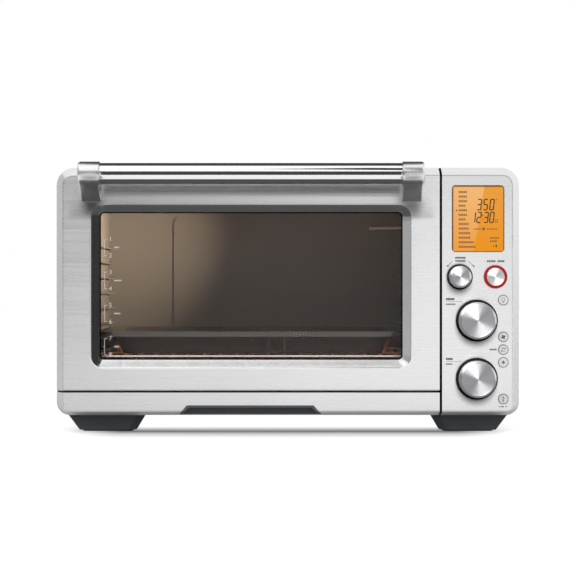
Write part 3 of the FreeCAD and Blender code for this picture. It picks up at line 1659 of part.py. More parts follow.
def idle_pockets():
    """Pockets that take nothing away, which point the wrong way."""
    idle = []
    for feature in document.Objects:
        if feature.TypeId == "PartDesign::Pocket":
            before = feature.BaseFeature.Shape.Volume
            if feature.Shape.Volume > before - 1e-6:
                idle.append(feature.Name)
    return idle


def broken_nodes():
    return [node.Label for node in nodes if node.Shape.isNull() or not node.Shape.isValid()]


document.recompute()
for problem in (failed_objects(), idle_pockets(), broken_nodes()):
    if problem:
        raise RuntimeError("these did not build: " + ", ".join(problem))
os.makedirs("parts", exist_ok=True)
for node in nodes:
    node.Shape.exportStep(f"parts/{node.Label}.step")
print(len(nodes), "pieces written")
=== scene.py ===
"""The looks of a countertop air fryer toaster oven: finishes, prints, dressed metalwork, light and camera."""

import math
from collections import namedtuple

import bmesh
import bpy
from mathutils import Matrix, Vector


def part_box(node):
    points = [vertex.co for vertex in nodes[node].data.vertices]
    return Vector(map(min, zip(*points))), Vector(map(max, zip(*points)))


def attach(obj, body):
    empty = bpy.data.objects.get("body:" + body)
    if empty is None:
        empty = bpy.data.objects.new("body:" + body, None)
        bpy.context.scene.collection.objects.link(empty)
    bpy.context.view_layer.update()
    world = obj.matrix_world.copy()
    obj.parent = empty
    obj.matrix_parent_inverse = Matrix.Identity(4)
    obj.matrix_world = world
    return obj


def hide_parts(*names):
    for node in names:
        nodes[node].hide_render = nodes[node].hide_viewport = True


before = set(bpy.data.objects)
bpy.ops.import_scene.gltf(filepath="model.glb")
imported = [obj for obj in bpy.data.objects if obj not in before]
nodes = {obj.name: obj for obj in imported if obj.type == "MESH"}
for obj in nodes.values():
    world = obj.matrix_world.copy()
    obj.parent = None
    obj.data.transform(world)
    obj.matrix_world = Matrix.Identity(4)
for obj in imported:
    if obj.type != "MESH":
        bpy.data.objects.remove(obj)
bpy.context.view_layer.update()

# Lengths are in metres
MM = 0.001
STEEL_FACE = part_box("control_fascia")[0].y
MERGE_DISTANCE = 0.001 * MM

# The photograph: its middle, the height that its middle row looks at, and its scale on the oven's face
PIXEL_MIDDLE_X = 287.8
PIXEL_MIDDLE_Y = 288
EYE_HEIGHT = 0.170
FACE_PIXEL = 1.171 * MM


def at_pixel(column, row):
    """The X and Z of a place on the oven's face, from its column and row in the photograph."""
    return (column - PIXEL_MIDDLE_X) * FACE_PIXEL, EYE_HEIGHT + (PIXEL_MIDDLE_Y - row) * FACE_PIXEL


def middle(node):
    low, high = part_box(node)
    return (low + high) / 2


# Finishes

class Finish:
    """A finish: one Principled surface and the nodes that feed it, all on Object coordinates."""

    def __init__(self, name, color, roughness, metallic=0.0):
        self.material = bpy.data.materials.new(name)
        self.material.use_nodes = True
        self.tree = self.material.node_tree
        self.surface = self.tree.nodes["Principled BSDF"]
        self.output = self.tree.nodes["Material Output"]
        self.color = color
        self.set("Base Color", (*color, 1))
        self.set("Roughness", roughness)
        self.set("Metallic", metallic)
        self.place = self.node("TexCoord").outputs["Object"]

    def node(self, kind, inputs=None, **settings):
        added = self.tree.nodes.new("ShaderNode" + kind)
        for setting, value in settings.items():
            setattr(added, setting, value)
        for socket, value in (inputs or {}).items():
            self.feed(added.inputs[socket], value)
        return added

    def feed(self, socket, value):
        if isinstance(value, bpy.types.NodeSocket):
            self.tree.links.new(value, socket)
        else:
            socket.default_value = value

    def set(self, socket, value):
        self.feed(self.surface.inputs[socket], value)
        return self

    def stretched(self, scale, centre=(0, 0, 0)):
        """Object coordinates about a centre, scaled along each axis."""
        moved = self.math3("SUBTRACT", self.place, centre)
        return self.math3("MULTIPLY", moved, scale)

    def math3(self, operation, first, second=(0, 0, 0), out="Vector"):
        return self.node("VectorMath", {0: first, 1: second}, operation=operation).outputs[out]

    def math(self, operation, first, second=0.0):
        return self.node("Math", {0: first, 1: second}, operation=operation).outputs[0]

    def noise(self, scale, detail=3.0, roughness=0.55, place=None):
        inputs = {"Vector": place or self.place, "Scale": scale, "Detail": detail, "Roughness": roughness}
        return self.node("TexNoise", inputs).outputs["Fac"]

    def cells(self, scale):
        return self.node("TexVoronoi", {"Vector": self.place, "Scale": scale}).outputs["Distance"]

    def spread(self, value, low, high, start=0.0, end=1.0):
        """Takes value from the range low to high onto the range start to end."""
        inputs = {"Value": value, "From Min": low, "From Max": high, "To Min": start, "To Max": end}
        return self.node("MapRange", inputs).outputs["Result"]

    def mixed(self, factor, first, second):
        """A colour between two, each a plain colour or another node's."""
        colors = [c if isinstance(c, bpy.types.NodeSocket) else (*c, 1) for c in (first, second)]
        inputs = {0: factor, 6: colors[0], 7: colors[1]}
        return self.node("Mix", inputs, data_type="RGBA").outputs[2]

    def shades(self, factor, dark, light):
        """Colours the surface between its own colour made darker and made lighter."""
        low = [min(part * dark, 1) for part in self.color]
        high = [min(part * light, 1) for part in self.color]
        return self.set("Base Color", self.mixed(factor, low, high))

    def fade_to(self, factor, color):
        """Fades the surface's colour towards another."""
        own = self.surface.inputs["Base Color"].links[0].from_socket
        return self.set("Base Color", self.mixed(factor, own, color))

    def along(self, axis, low, high, start, end):
        """Runs from start to end between two places along an axis."""
        return self.spread(self.node("SeparateXYZ", {0: self.place}).outputs[axis], low, high, start, end)

    def bump(self, height, distance):
        inputs = {"Height": height, "Distance": distance, "Strength": 1.0}
        return self.set("Normal", self.node("Bump", inputs).outputs["Normal"])

    def glow(self, color, strength):
        self.set("Emission Color", (*color, 1))
        return self.set("Emission Strength", strength)

    def clear_where(self, factor):
        """Makes the surface fully clear for some rays or on one side."""
        clear = self.node("BsdfTransparent")
        mixed = self.node("MixShader", {0: factor, 1: self.surface.outputs[0], 2: clear.outputs[0]})
        self.tree.links.new(mixed.outputs[0], self.output.inputs["Surface"])
        return self

    def through_for_lamps(self):
        """Lets the lamps' light pass, so that what lies behind clear glass is lit."""
        return self.clear_where(self.node("LightPath").outputs["Is Shadow Ray"])

    def one_sided(self, faded=0.0):
        """Leaves a card clear from behind, and where it fades."""
        behind = self.node("NewGeometry").outputs["Backfacing"]
        return self.clear_where(self.math("MAXIMUM", behind, faded))


def brushed(name, color, along, roughness, contrast=1.0, anisotropy=0.75):
    """Steel brushed along one axis: fine scratches, broader streaks and a faint cloudiness."""
    finish = Finish(name, color, roughness, metallic=1.0)
    direction = {"x": Vector((1, 0, 0)), "y": Vector((0, 1, 0))}[along]
    across = Vector((1, 1, 1)) - direction
    fine = finish.noise(1, 4, 0.6, finish.stretched(direction * 4 + across * 1500))
    broad = finish.noise(1, 2, 0.5, finish.stretched(direction * 1.5 + across * 260))
    cloud = finish.noise(9, 2, 0.5)
    streaks = finish.math("ADD", finish.math("MULTIPLY", fine, 0.6), finish.math("MULTIPLY", broad, 0.4))
    tone = finish.math("ADD", finish.math("MULTIPLY", streaks, 0.85), finish.math("MULTIPLY", cloud, 0.15))
    finish.shades(finish.spread(tone, 0.35, 0.65), 1 - 0.10 * contrast, 1 + 0.06 * contrast)
    finish.set("Roughness", finish.spread(streaks, 0.3, 0.7, roughness * 0.82, roughness * 1.2))
    finish.bump(streaks, 0.012 * MM * contrast)
    finish.set("Anisotropic", anisotropy)
    normal = finish.node("NewGeometry").outputs["Normal"]
    finish.set("Tangent", finish.math3("CROSS_PRODUCT", normal, direction))
    return finish


CONE_FALL = 0.10
RING_DEPTH = 0.01 * MM


def spun(name, color, centre):
    """Metal turned on a lathe about an axis along Y: rings, a faint cone, and a sheen that fans out."""
    roughness = 0.42
    finish = Finish(name, color, roughness, metallic=1.0)
    flat = finish.stretched((1, 0, 1), centre)
    distance = finish.math3("DISTANCE", flat, out="Value")
    rings = finish.noise(4000, 3, 0.6, finish.node("CombineXYZ", {0: distance}).outputs[0])
    finish.shades(finish.spread(rings, 0.3, 0.7), 0.9, 1.05)
    finish.set("Roughness", finish.spread(rings, 0.3, 0.7, roughness * 0.8, roughness * 1.25))
    cone = finish.math("MULTIPLY", distance, CONE_FALL / RING_DEPTH)
    finish.bump(finish.math("SUBTRACT", rings, cone), RING_DEPTH)
    finish.set("Anisotropic", 0.85)
    finish.set("Tangent", finish.math3("NORMALIZE", flat))
    return finish


def coated(name, color, roughness, grain, depth, contrast=1.0, coat=0.0):
    """Paint, enamel or moulded plastic: a fine grain, soft mottling and a few dull patches."""
    finish = Finish(name, color, roughness)
    speckle = finish.noise(grain, 3, 0.6)
    mottle = finish.noise(22, 3, 0.55)
    tone = finish.math("ADD", finish.math("MULTIPLY", speckle, 0.5), finish.math("MULTIPLY", mottle, 0.5))
    finish.shades(finish.spread(tone, 0.35, 0.65), 1 - 0.16 * contrast, 1 + 0.14 * contrast)
    finish.set("Roughness", finish.spread(mottle, 0.3, 0.7, roughness * 0.85, roughness * 1.18))
    finish.bump(speckle, depth * MM)
    finish.set("Coat Weight", coat)
    finish.set("Coat Roughness", 0.08)
    return finish


def plated(name, color, roughness, contrast=1.0):
    """Bright plated or polished metal with faint handling marks."""
    finish = Finish(name, color, roughness, metallic=1.0)
    marks = finish.noise(140, 4, 0.65)
    cloud = finish.noise(18, 2, 0.5)
    finish.shades(finish.spread(cloud, 0.3, 0.7), 1 - 0.08 * contrast, 1 + 0.05 * contrast)
    finish.set("Roughness", finish.spread(marks, 0.3, 0.7, roughness * 0.9, roughness * 1.15))
    finish.bump(marks, 0.001 * MM)
    return finish


def clear_glass(name, color, roughness=0.01):
    """Clear glass with the faintest smears, which lamps shine through."""
    finish = Finish(name, color, roughness)
    smears = finish.noise(14, 3, 0.6, finish.stretched((1, 1, 2.2)))
    finish.set("Roughness", finish.spread(smears, 0.45, 0.75, roughness, roughness * 4))
    finish.set("Transmission Weight", 1.0)
    finish.set("IOR", 1.2)
    return finish.through_for_lamps()


def printed_ink(name, color):
    finish = Finish(name, color, 0.5)
    wear = finish.noise(600, 2, 0.5)
    finish.shades(finish.spread(wear, 0.3, 0.7), 0.9, 1.08)
    return finish


def cavity_coating():
    """The cavity's warm grey non-stick coating, flecked all over and a little browned in patches."""
    finish = Finish("cavity_coating", (0.11, 0.10, 0.09), 0.42)
    fleck = finish.cells(700)
    grain = finish.noise(1600, 2, 0.6)
    browning = finish.noise(7, 3, 0.6)
    base = finish.mixed(finish.spread(fleck, 0.1, 0.7), (0.14, 0.13, 0.118), (0.09, 0.083, 0.075))
    warm = finish.mixed(finish.spread(browning, 0.45, 0.8, 0.0, 0.35), base, (0.10, 0.075, 0.052))
    finish.set("Base Color", warm)
    finish.set("Roughness", finish.spread(grain, 0.3, 0.7, 0.34, 0.5))
    finish.bump(finish.math("ADD", fleck, grain), 0.02 * MM)
    return finish


# Painted reflection on the display: the lean of its edge, and where it fades out
REFLECTION_LEAN = 0.165
REFLECTION_START = 0.9 * MM
REFLECTION_END = 1.5 * MM
# The display's dark border is painted shade: its corner, where it starts and ends, and the shift that makes
# it wider on top and on the left
RIM_CORNER = 2.6 * MM
RIM_START = 1.9 * MM
RIM_END = 0.4 * MM
BORDER_SHADE_SHIFT = (0.3 * MM, 0, -0.4 * MM)


def display_amber():
    """The backlit display: amber, with painted shade in a dark border, wider on top and left, and a painted
    reflection on its left.
    """
    low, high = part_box("display_lens")
    half = (high - low) / 2
    finish = Finish("display_amber", (0.22, 0.09, 0.01), 0.3)
    finish.set("Specular IOR Level", 0.2)
    flat = finish.stretched((1, 0, 1), (low + high) / 2)
    parts = finish.node("SeparateXYZ", {0: flat}).outputs
    rise = finish.spread(parts["Z"], -half.z, half.z)
    # Painted reflection: a slanting lighter band on the left of the display, lighter higher up
    slant = finish.math("SUBTRACT", parts["X"], finish.math("MULTIPLY", parts["Z"], REFLECTION_LEAN))
    painted_reflection = finish.spread(slant, REFLECTION_START, REFLECTION_END, 1.0, 0.0)
    pixels = finish.noise(2500, 1, 0.5)
    amber = finish.mixed(rise, (0.80, 0.275, 0.006), (0.78, 0.32, 0.045))
    lit = finish.mixed(finish.math("MULTIPLY", painted_reflection, finish.spread(rise, 0.0, 1.0, 0.12, 0.42)), amber,
                       (0.95, 0.66, 0.36))
    tinted = finish.mixed(finish.spread(pixels, 0.3, 0.7, 0.0, 0.08), lit, (0.5, 0.18, 0.01))
    # Painted shade: a dark border round the display, wider on top and on the left, darkens its colour and its
    # glow
    shaded = finish.math3("SUBTRACT", flat, BORDER_SHADE_SHIFT)
    around = finish.math3("ABSOLUTE", shaded)
    sides = finish.math3("SUBTRACT", around, (half.x - RIM_CORNER, 0, half.z - RIM_CORNER))
    beyond = finish.math3("LENGTH", finish.math3("MAXIMUM", sides), out="Value")
    border_shade = finish.spread(beyond, RIM_CORNER - RIM_START, RIM_CORNER - RIM_END)
    finish.set("Base Color", finish.mixed(border_shade, tinted, (0.10, 0.045, 0.012)))
    finish.set("Emission Color", finish.mixed(border_shade, tinted, (0.05, 0.02, 0.004)))
    finish.set("Emission Strength", 0.26)
    return finish


def glowing_quartz(name, strength):
    """A frosted quartz heating tube with its coil glowing inside."""
    finish = Finish(name, (0.75, 0.42, 0.26), 0.35)
    coil = {"Vector": finish.place, "Scale": 55, "Distortion": 0.4}
    turns = finish.node("TexWave", coil, bands_direction="X")
    frost = finish.noise(900, 3, 0.6)
    band = finish.spread(turns.outputs["Fac"], 0.2, 0.8)
    finish.set("Base Color", finish.mixed(band, (0.62, 0.32, 0.2), (0.85, 0.5, 0.32)))
    finish.set("Emission Color", finish.mixed(band, (1.0, 0.16, 0.015), (1.0, 0.33, 0.06)))
    finish.set("Emission Strength", strength)
    finish.bump(frost, 0.03 * MM)
    return finish


front_steel = brushed("stainless_front", (0.86, 0.86, 0.865), "x", 0.28, 1.0, 0.8)
case_steel = brushed("stainless_case", (0.70, 0.70, 0.71), "y", 0.32)
sheet_steel = brushed("sheet_steel", (0.5, 0.5, 0.51), "x", 0.4)
handle_steel = brushed("handle_metal", (0.86, 0.86, 0.865), "x", 0.09, 0.5, 0.3)
polished_steel = plated("polished_steel", (0.90, 0.90, 0.905), 0.16, 0.5)
casting = plated("handle_casting", (0.86, 0.86, 0.865), 0.30, 0.5)
ring_red = coated("ring_red", (0.47, 0.002, 0.005), 0.3, 400, 0.004, 0.6, 0.1)
ring_red.set("Specular IOR Level", 0.25)
foot_plastic = coated("foot_plastic", (0.080, 0.089, 0.099), 0.5, 1400, 0.05)
# Painted shade: the feet turn darker towards their tops, under the oven
foot_painted_shade = foot_plastic.along("Z", 4 * MM, 20 * MM, 0.0, 0.8)
foot_plastic.fade_to(foot_painted_shade, (0.010, 0.012, 0.014))
grip_plastic = coated("grip_plastic", (0.055, 0.063, 0.071), 0.5, 1400, 0.05)
# Painted shade: the grip is lighter at its front edge and darker further back in its hollow
grip_painted_shade = grip_plastic.along("Y", STEEL_FACE + 2 * MM, STEEL_FACE + 5 * MM, 0.8, 0.0)
grip_plastic.fade_to(grip_painted_shade, (0.13, 0.14, 0.15))
# The frame's dark enamel, near black partly as painted shade, so that the gaps in front of it stay dark
frame_enamel = coated("frame_enamel", (0.004, 0.004, 0.0042), 0.9, 900, 0.02)
frame_enamel.set("Specular IOR Level", 0.15)
slate_panel = coated("slate_panel", (0.04, 0.045, 0.05), 0.5, 1200, 0.03)
black_plastic = coated("black_plastic", (0.012, 0.012, 0.013), 0.45, 1400, 0.03)
knob_base = coated("knob_base", (0.005, 0.005, 0.006), 0.35, 700, 0.003, 0.5)
knob_base.set("Specular IOR Level", 0.25)
seal_rubber = coated("seal_rubber", (0.02, 0.02, 0.021), 0.7, 1600, 0.04)
# Black for the window's bead, and as painted shade for the plates in the door's gap
seal_and_shade_black = coated("seal_and_shade_black", (0.004, 0.004, 0.004), 0.6, 1200, 0.01)
seal_and_shade_black.set("Specular IOR Level", 0.0)
foot_rubber = coated("foot_rubber", (0.012, 0.012, 0.012), 0.8, 1600, 0.05)
pan_enamel = coated("pan_enamel", (0.026, 0.025, 0.025), 0.2, 900, 0.001, 1.4, 0.25)
pan_low, pan_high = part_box("roasting_pan")
pan_foot = pan_enamel.along("Z", pan_low.z, pan_high.z, 1.0, 0.0)
pan_enamel.fade_to(pan_foot, (0.085, 0.060, 0.050))
ceramic = coated("ceramic_cap", (0.68, 0.65, 0.6), 0.6, 1000, 0.03)
button_silver = coated("button_silver", (0.95, 0.95, 0.95), 0.35, 900, 0.006, 0.6, 0.2)
motor_paint = coated("motor_paint", (0.02, 0.021, 0.023), 0.45, 1000, 0.03)
board_green = coated("circuit_board", (0.015, 0.09, 0.04), 0.3, 700, 0.01, 1.2, 0.5)
hinge_steel = plated("hinge_steel", (0.5, 0.5, 0.49), 0.3, 1.5)
magnet_plate = plated("magnet", (0.42, 0.42, 0.43), 0.25, 1.2)
rack_chrome = plated("rack_chrome", (0.92, 0.91, 0.89), 0.28)
tray_metal = brushed("tray_aluminium", (0.62, 0.62, 0.63), "x", 0.38, 0.8, 0.5)
fan_metal = plated("fan_aluminium", (0.62, 0.62, 0.63), 0.34, 1.3)
window_glass = clear_glass("door_glass", (0.93, 0.915, 0.89))
lamp_glass = clear_glass("lamp_glass", (1.0, 0.94, 0.82), 0.08)
lamp_glass.glow((1.0, 0.72, 0.36), 2.0)
cavity = cavity_coating()
amber = display_amber()
hot_quartz = glowing_quartz("quartz_tube_hot", 1.2)
warm_quartz = glowing_quartz("quartz_tube", 0.5)
white_ink = printed_ink("white_print", (0.78, 0.78, 0.77))
black_ink = printed_ink("black_print", (0.022, 0.022, 0.024))
display_ink = printed_ink("display_segments", (0.05, 0.022, 0.006))
display_faint = printed_ink("display_small_print", (0.36, 0.155, 0.025))

FINISHES = {
    frame_enamel: ("front_frame",),
    front_steel: ("door_shell", "crumb_tray_front", "control_fascia"),
    case_steel: ("outer_case",),
    sheet_steel: ("base_plate", "door_inner_frame", "fan_grille", "temperature_probe"),
    slate_panel: ("back_panel",),
    cavity: ("cavity_liner", "rack_rails"),
    window_glass: ("door_glass",),
    lamp_glass: ("lamp_lens",),
    warm_quartz: ("upper_elements",),
    hot_quartz: ("lower_elements",),
    ceramic: ("element_caps", "lamp_holder"),
    seal_rubber: ("door_seal",),
    foot_rubber: ("foot_pads",),
    foot_plastic: ("front_feet", "rear_feet"),
    grip_plastic: ("crumb_tray_grip",),
    black_plastic: ("cord_inlet", "encoder_bodies", "button_switches", "cooling_fan_frame",
                    "cooling_fan_rotor", "display_module"),
    knob_base: ("select_knob_skirt", "temp_knob_skirt", "time_knob_skirt"),
    handle_steel: ("handle_bar",),
    button_silver: ("light_button", "fan_button", "rotate_button", "frozen_button", "phase_button"),
    ring_red: ("start_ring",),
    amber: ("display_lens",),
    casting: ("handle_bracket_left", "handle_bracket_right"),
    hinge_steel: ("hinge_arms", "hinge_brackets", "handle_screws", "case_screws", "select_plunger"),
    magnet_plate: ("rack_magnets",),
    rack_chrome: ("wire_rack",),
    pan_enamel: ("roasting_pan",),
    tray_metal: ("crumb_tray",),
    fan_metal: ("fan_housing", "convection_impeller"),
    motor_paint: ("fan_motor",),
    board_green: ("control_board", "power_board"),
}


def finish_node(node, finish):
    """Gives a CAD node one finish."""
    nodes[node].data.materials.clear()
    nodes[node].data.materials.append(finish.material)


for finish, names in FINISHES.items():
    for name in names:
        finish_node(name, finish)


def linked(name, data):
    """A new object in the scene."""
    piece = bpy.data.objects.new(name, data)
    bpy.context.scene.collection.objects.link(piece)
    return piece


def mesh_piece(name, mesh, finish, body=None, replaces=()):
    """Makes an object of a finished bmesh, and puts it on its body."""
    data = bpy.data.meshes.new(name)
    mesh.to_mesh(data)
    mesh.free()
    data.materials.append(finish.material)
    piece = linked(name, data)
    if body:
        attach(piece, body)
    if replaces:
        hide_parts(*replaces)
    return piece


def face_outward(mesh):
    bmesh.ops.recalc_face_normals(mesh, faces=mesh.faces[:])


def bevelled(mesh, parts, offset, segments, affect="VERTICES"):
    """Rounds some corners or edges of a mesh."""
    return bmesh.ops.bevel(mesh, geom=parts, offset=offset, segments=segments, profile=0.5, affect=affect,
                           material=-1)


def smooth(piece, degrees):
    """Shades a piece smoothly except across its sharp edges."""
    piece.data.shade_smooth()
    piece.data.set_sharp_from_angle(angle=math.radians(degrees))
    return piece


# Turned pieces: the knobs' caps and the start button

LATHE_STEPS = 96
KNOB_ROUNDING = 0.22 * MM
FACE_DISH = 0.25 * MM
DISH_SLOPE = 0.5 * MM


def spin_outline(points, ends, rounding, centre, axis):
    """Spins an outline about an axis, its corners rounded but for so many at each end."""
    mesh = bmesh.new()
    corners = [mesh.verts.new(point) for point in points]
    for first, second in zip(corners, corners[1:]):
        mesh.edges.new((first, second))
    bevelled(mesh, corners[ends:-ends], rounding, 3)
    bmesh.ops.spin(mesh, geom=mesh.verts[:] + mesh.edges[:], cent=centre, axis=axis, angle=math.tau,
                   steps=LATHE_STEPS, use_merge=True)
    bmesh.ops.remove_doubles(mesh, verts=mesh.verts[:], dist=MERGE_DISTANCE)
    return mesh


def knob(name, body, face_share, chamfer):
    """A knob's cap: a slightly dished spun face, a bright chamfer round it and a plain side."""
    low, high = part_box(name)
    centre = middle(name)
    radius = (high.x - low.x) / 2
    face_radius = radius * face_share
    dish = low.y + FACE_DISH
    profile = ((0, dish), (face_radius - DISH_SLOPE, dish), (face_radius, low.y), (radius, low.y + chamfer),
               (radius, high.y), (0, high.y))
    outline = [(out, depth, 0) for out, depth in profile]
    mesh = spin_outline(outline, 1, KNOB_ROUNDING, (0, 0, 0), (0, 1, 0))
    face_outward(mesh)
    bmesh.ops.translate(mesh, verts=mesh.verts[:], vec=(centre.x, 0, centre.z))
    finish = spun(name + "_metal", (0.33, 0.33, 0.34), centre)
    piece = mesh_piece(name + "_dressed", mesh, finish, body, [name])
    turned_metal.objects.link(smooth(piece, 50))


# The knobs and the start button, which two lamps of their own light
turned_metal = bpy.data.collections.new("turned_metal")
knob("select_knob", "select_dial", 0.80, 2.2 * MM)
knob("temp_knob", "temp_dial", 0.89, 2.0 * MM)
knob("time_knob", "time_dial", 0.89, 2.0 * MM)
finish_node("start_button", spun("start_button_metal", (0.50, 0.50, 0.505), middle("start_button")))
turned_metal.objects.link(nodes["start_button"])


# The handle's end castings

CROWN_SHARE = 0.55
CROWN_FALL = 0.3 * MM
SHOULDER_SHARE = 0.9
SHOULDER_FALL = 1.1 * MM
DOME_DEPTH = 3.2 * MM
LIP_LENGTH = 1.0 * MM
LIP_FALL = 0.8 * MM
BORE_CLEARANCE = 0.15 * MM
BORE_SHOWN = 3 * MM
CAP_ROUNDING = 0.5 * MM
ARM_INSET = 2.3 * MM
ARM_ROUNDING = 1.2 * MM
NOSE_INSET = 0.4 * MM
NOSE_STEPS = 24


def casting_piece(side):
    """A cap with a domed end round the bar, and the arm that stands on the door."""
    name = "handle_bracket_" + side
    low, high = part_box(name)
    axis = middle("handle_bar")
    bar_low, bar_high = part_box("handle_bar")
    bore = (bar_high.z - bar_low.z) / 2 + BORE_CLEARANCE
    radius = axis.y - low.y
    inward = 1 if side == "left" else -1
    outer, inner = (low.x, high.x) if side == "left" else (high.x, low.x)
    profile = ((0, outer), (radius * CROWN_SHARE, outer + CROWN_FALL * inward),
               (radius * SHOULDER_SHARE, outer + SHOULDER_FALL * inward),
               (radius, outer + DOME_DEPTH * inward), (radius, inner - LIP_LENGTH * inward),
               (radius - LIP_FALL, inner), (bore, inner), (bore, inner - BORE_SHOWN * inward))
    outline = [(along, axis.y, axis.z + out) for out, along in profile]
    mesh = spin_outline(outline, 2, CAP_ROUNDING, (0, axis.y, axis.z), (1, 0, 0))
    add_arm(mesh, axis, radius - NOSE_INSET, low, high)
    face_outward(mesh)
    smooth(mesh_piece(name + "_dressed", mesh, casting, "door", [name]), 40)


def add_arm(mesh, axis, radius, low, high):
    """Adds the arm: its side outline is a round nose inside the cap and two flanks back to the door."""
    near = [mesh.verts.new((low.x + ARM_INSET, y, z)) for y, z in arm_outline(axis, radius, low, high)]
    face = mesh.faces.new(near)
    moved = bmesh.ops.extrude_face_region(mesh, geom=[face])["geom"]
    far = [part for part in moved if isinstance(part, bmesh.types.BMVert)]
    bmesh.ops.translate(mesh, verts=far, vec=(high.x - low.x - 2 * ARM_INSET, 0, 0))
    rims = [edge for edge in mesh.edges if set(edge.verts) <= set(near) or set(edge.verts) <= set(far)]
    bevelled(mesh, rims, ARM_ROUNDING, 4, "EDGES")


def arm_outline(axis, radius, low, high):
    """The arm from its side: tangent lines from the door's face round the front of the cap."""
    (top, start), (bottom, end) = (tangent_turn(axis, radius, foot, side)
                                   for foot, side in (((high.y, high.z), 1), ((high.y, low.z), -1)))
    end += math.tau
    turns = [start + (end - start) * step / NOSE_STEPS for step in range(NOSE_STEPS + 1)]
    nose = [(axis.y + radius * math.cos(turn), axis.z + radius * math.sin(turn)) for turn in turns]
    return [top, *nose, bottom]


def tangent_turn(axis, radius, foot, side):
    """A foot on the door, and the turn at which its tangent line meets the nose."""
    reach = math.dist(foot, (axis.y, axis.z))
    bearing = math.atan2(foot[1] - axis.z, foot[0] - axis.y)
    return foot, bearing + side * math.acos(radius / reach)


for side in ("left", "right"):
    casting_piece(side)


# The window: its opening in the door, and how far its polished funnel spreads on the way to the face

VIEW_LOW = Vector((-220.3, 0, 86.4)) * MM
VIEW_HIGH = Vector((134.1, 0, 258.7)) * MM
VIEW_CORNER = 5 * MM
FUNNEL_SIDE = 10.5 * MM
FUNNEL_BOTTOM = 10.4 * MM
FUNNEL_TOP = 8.6 * MM
MOUTH_LOW = VIEW_LOW - Vector((FUNNEL_SIDE, 0, FUNNEL_BOTTOM))
MOUTH_HIGH = VIEW_HIGH + Vector((FUNNEL_SIDE, 0, FUNNEL_TOP))
MOUTH_CORNER = 14.5 * MM
CORNER_STEPS = 10


def rounded_loop(mesh, low, high, corner, depth):
    """A closed loop of edges: a rectangle with round corners, standing at a depth."""
    verts = bmesh.ops.create_circle(mesh, segments=4, radius=0.5)["verts"]
    for vert in verts:
        x = high.x if vert.co.x + vert.co.y > 0 else low.x
        z = high.z if vert.co.y - vert.co.x > 0 else low.z
        vert.co = (x, depth, z)
    made = bevelled(mesh, verts, corner, CORNER_STEPS)
    return {edge for vert in made["verts"] for edge in vert.link_edges}


def window_band(name, finish, sections):
    """A band round the window. Each section has its share of the slope, a margin beyond it and its rise."""
    glass_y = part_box("door_glass")[0].y
    mesh = bmesh.new()
    loops = []
    for share, margin, rise in sections:
        low = VIEW_LOW.lerp(MOUTH_LOW, share) - Vector((margin, 0, margin))
        high = VIEW_HIGH.lerp(MOUTH_HIGH, share) + Vector((margin, 0, margin))
        corner = VIEW_CORNER + (MOUTH_CORNER - VIEW_CORNER) * share + margin
        depth = glass_y + (STEEL_FACE - glass_y) * share - rise
        loops.append(rounded_loop(mesh, low, high, corner, depth))
    for first, second in zip(loops, loops[1:]):
        bmesh.ops.bridge_loops(mesh, edges=list(first | second))
    face_outward(mesh)
    smooth(mesh_piece(name, mesh, finish, "door"), 60)


def window_trim():
    """The sloping surround, with a soft lip on the face."""
    skin = 0.09 * MM
    lip = ((1, 0.9 * MM, 0.06 * MM), (1, 0.35 * MM, 0.16 * MM), (1, -0.2 * MM, 0.10 * MM))
    slope = [(share, 0, skin) for share in (0.9, 0.1, 0.05)]
    window_band("window_trim", polished_steel, (*lip, *slope))


def window_bead():
    """The black bead between the surround and the glass."""
    rounding = ((0.06, 0, 0.12 * MM), (0.03, -0.1 * MM, 0.2 * MM))
    flat = ((0, -0.7 * MM, 0.12 * MM), (0, -0.9 * MM, 0.04 * MM))
    window_band("window_bead", seal_and_shade_black, (*rounding, *flat))


window_trim()
window_bead()


# Painted shade: thin black plates on both sides of the gap between the door and the panel, that keep the gap
# dark

GAP_SHADE_DEPTH = 24 * MM
GAP_SHADE_SETBACK = 0.6 * MM
GAP_SHADE_THICKNESS = 0.08 * MM
GAP_SHADE_PLACE = 0.06 * MM
GAP_SHADE_SHORTER = 40 * MM


def gap_shade(name, body, x):
    """A thin black plate that stands in the gap, on the side of the door or of the panel, as painted shade.
    """
    low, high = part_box("control_fascia")
    front = low.y + GAP_SHADE_SETBACK
    back = low.y + GAP_SHADE_DEPTH
    mesh = bmesh.new()
    bmesh.ops.create_cube(mesh, size=1)
    size = (GAP_SHADE_THICKNESS, back - front, high.z - low.z - GAP_SHADE_SHORTER)
    bmesh.ops.scale(mesh, vec=size, verts=mesh.verts[:])
    bmesh.ops.translate(mesh, vec=(x, (front + back) / 2, (low.z + high.z) / 2), verts=mesh.verts[:])
    mesh_piece(name, mesh, seal_and_shade_black, body)


gap_shade("panel_gap_shade", "oven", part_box("control_fascia")[0].x - GAP_SHADE_PLACE)
gap_shade("door_gap_shade", "door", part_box("door_shell")[1].x + GAP_SHADE_PLACE)


# Printed marks

PRINT_RISE = 0.03 * MM
PRINT_THICKNESS = 0.04 * MM
NUMERAL_SHARE = 0.7
SEGMENT_GAP_SHARE = 0.18
SEVEN_SEGMENTS = {"0": "abcdef", "1": "bc", "2": "abged", "3": "abgcd", "5": "afgcd"}

# Small print as it looks from a step away: how high its blocks are, how far apart, and the gap between two
Blocks = namedtuple("Blocks", "height pitch gap")


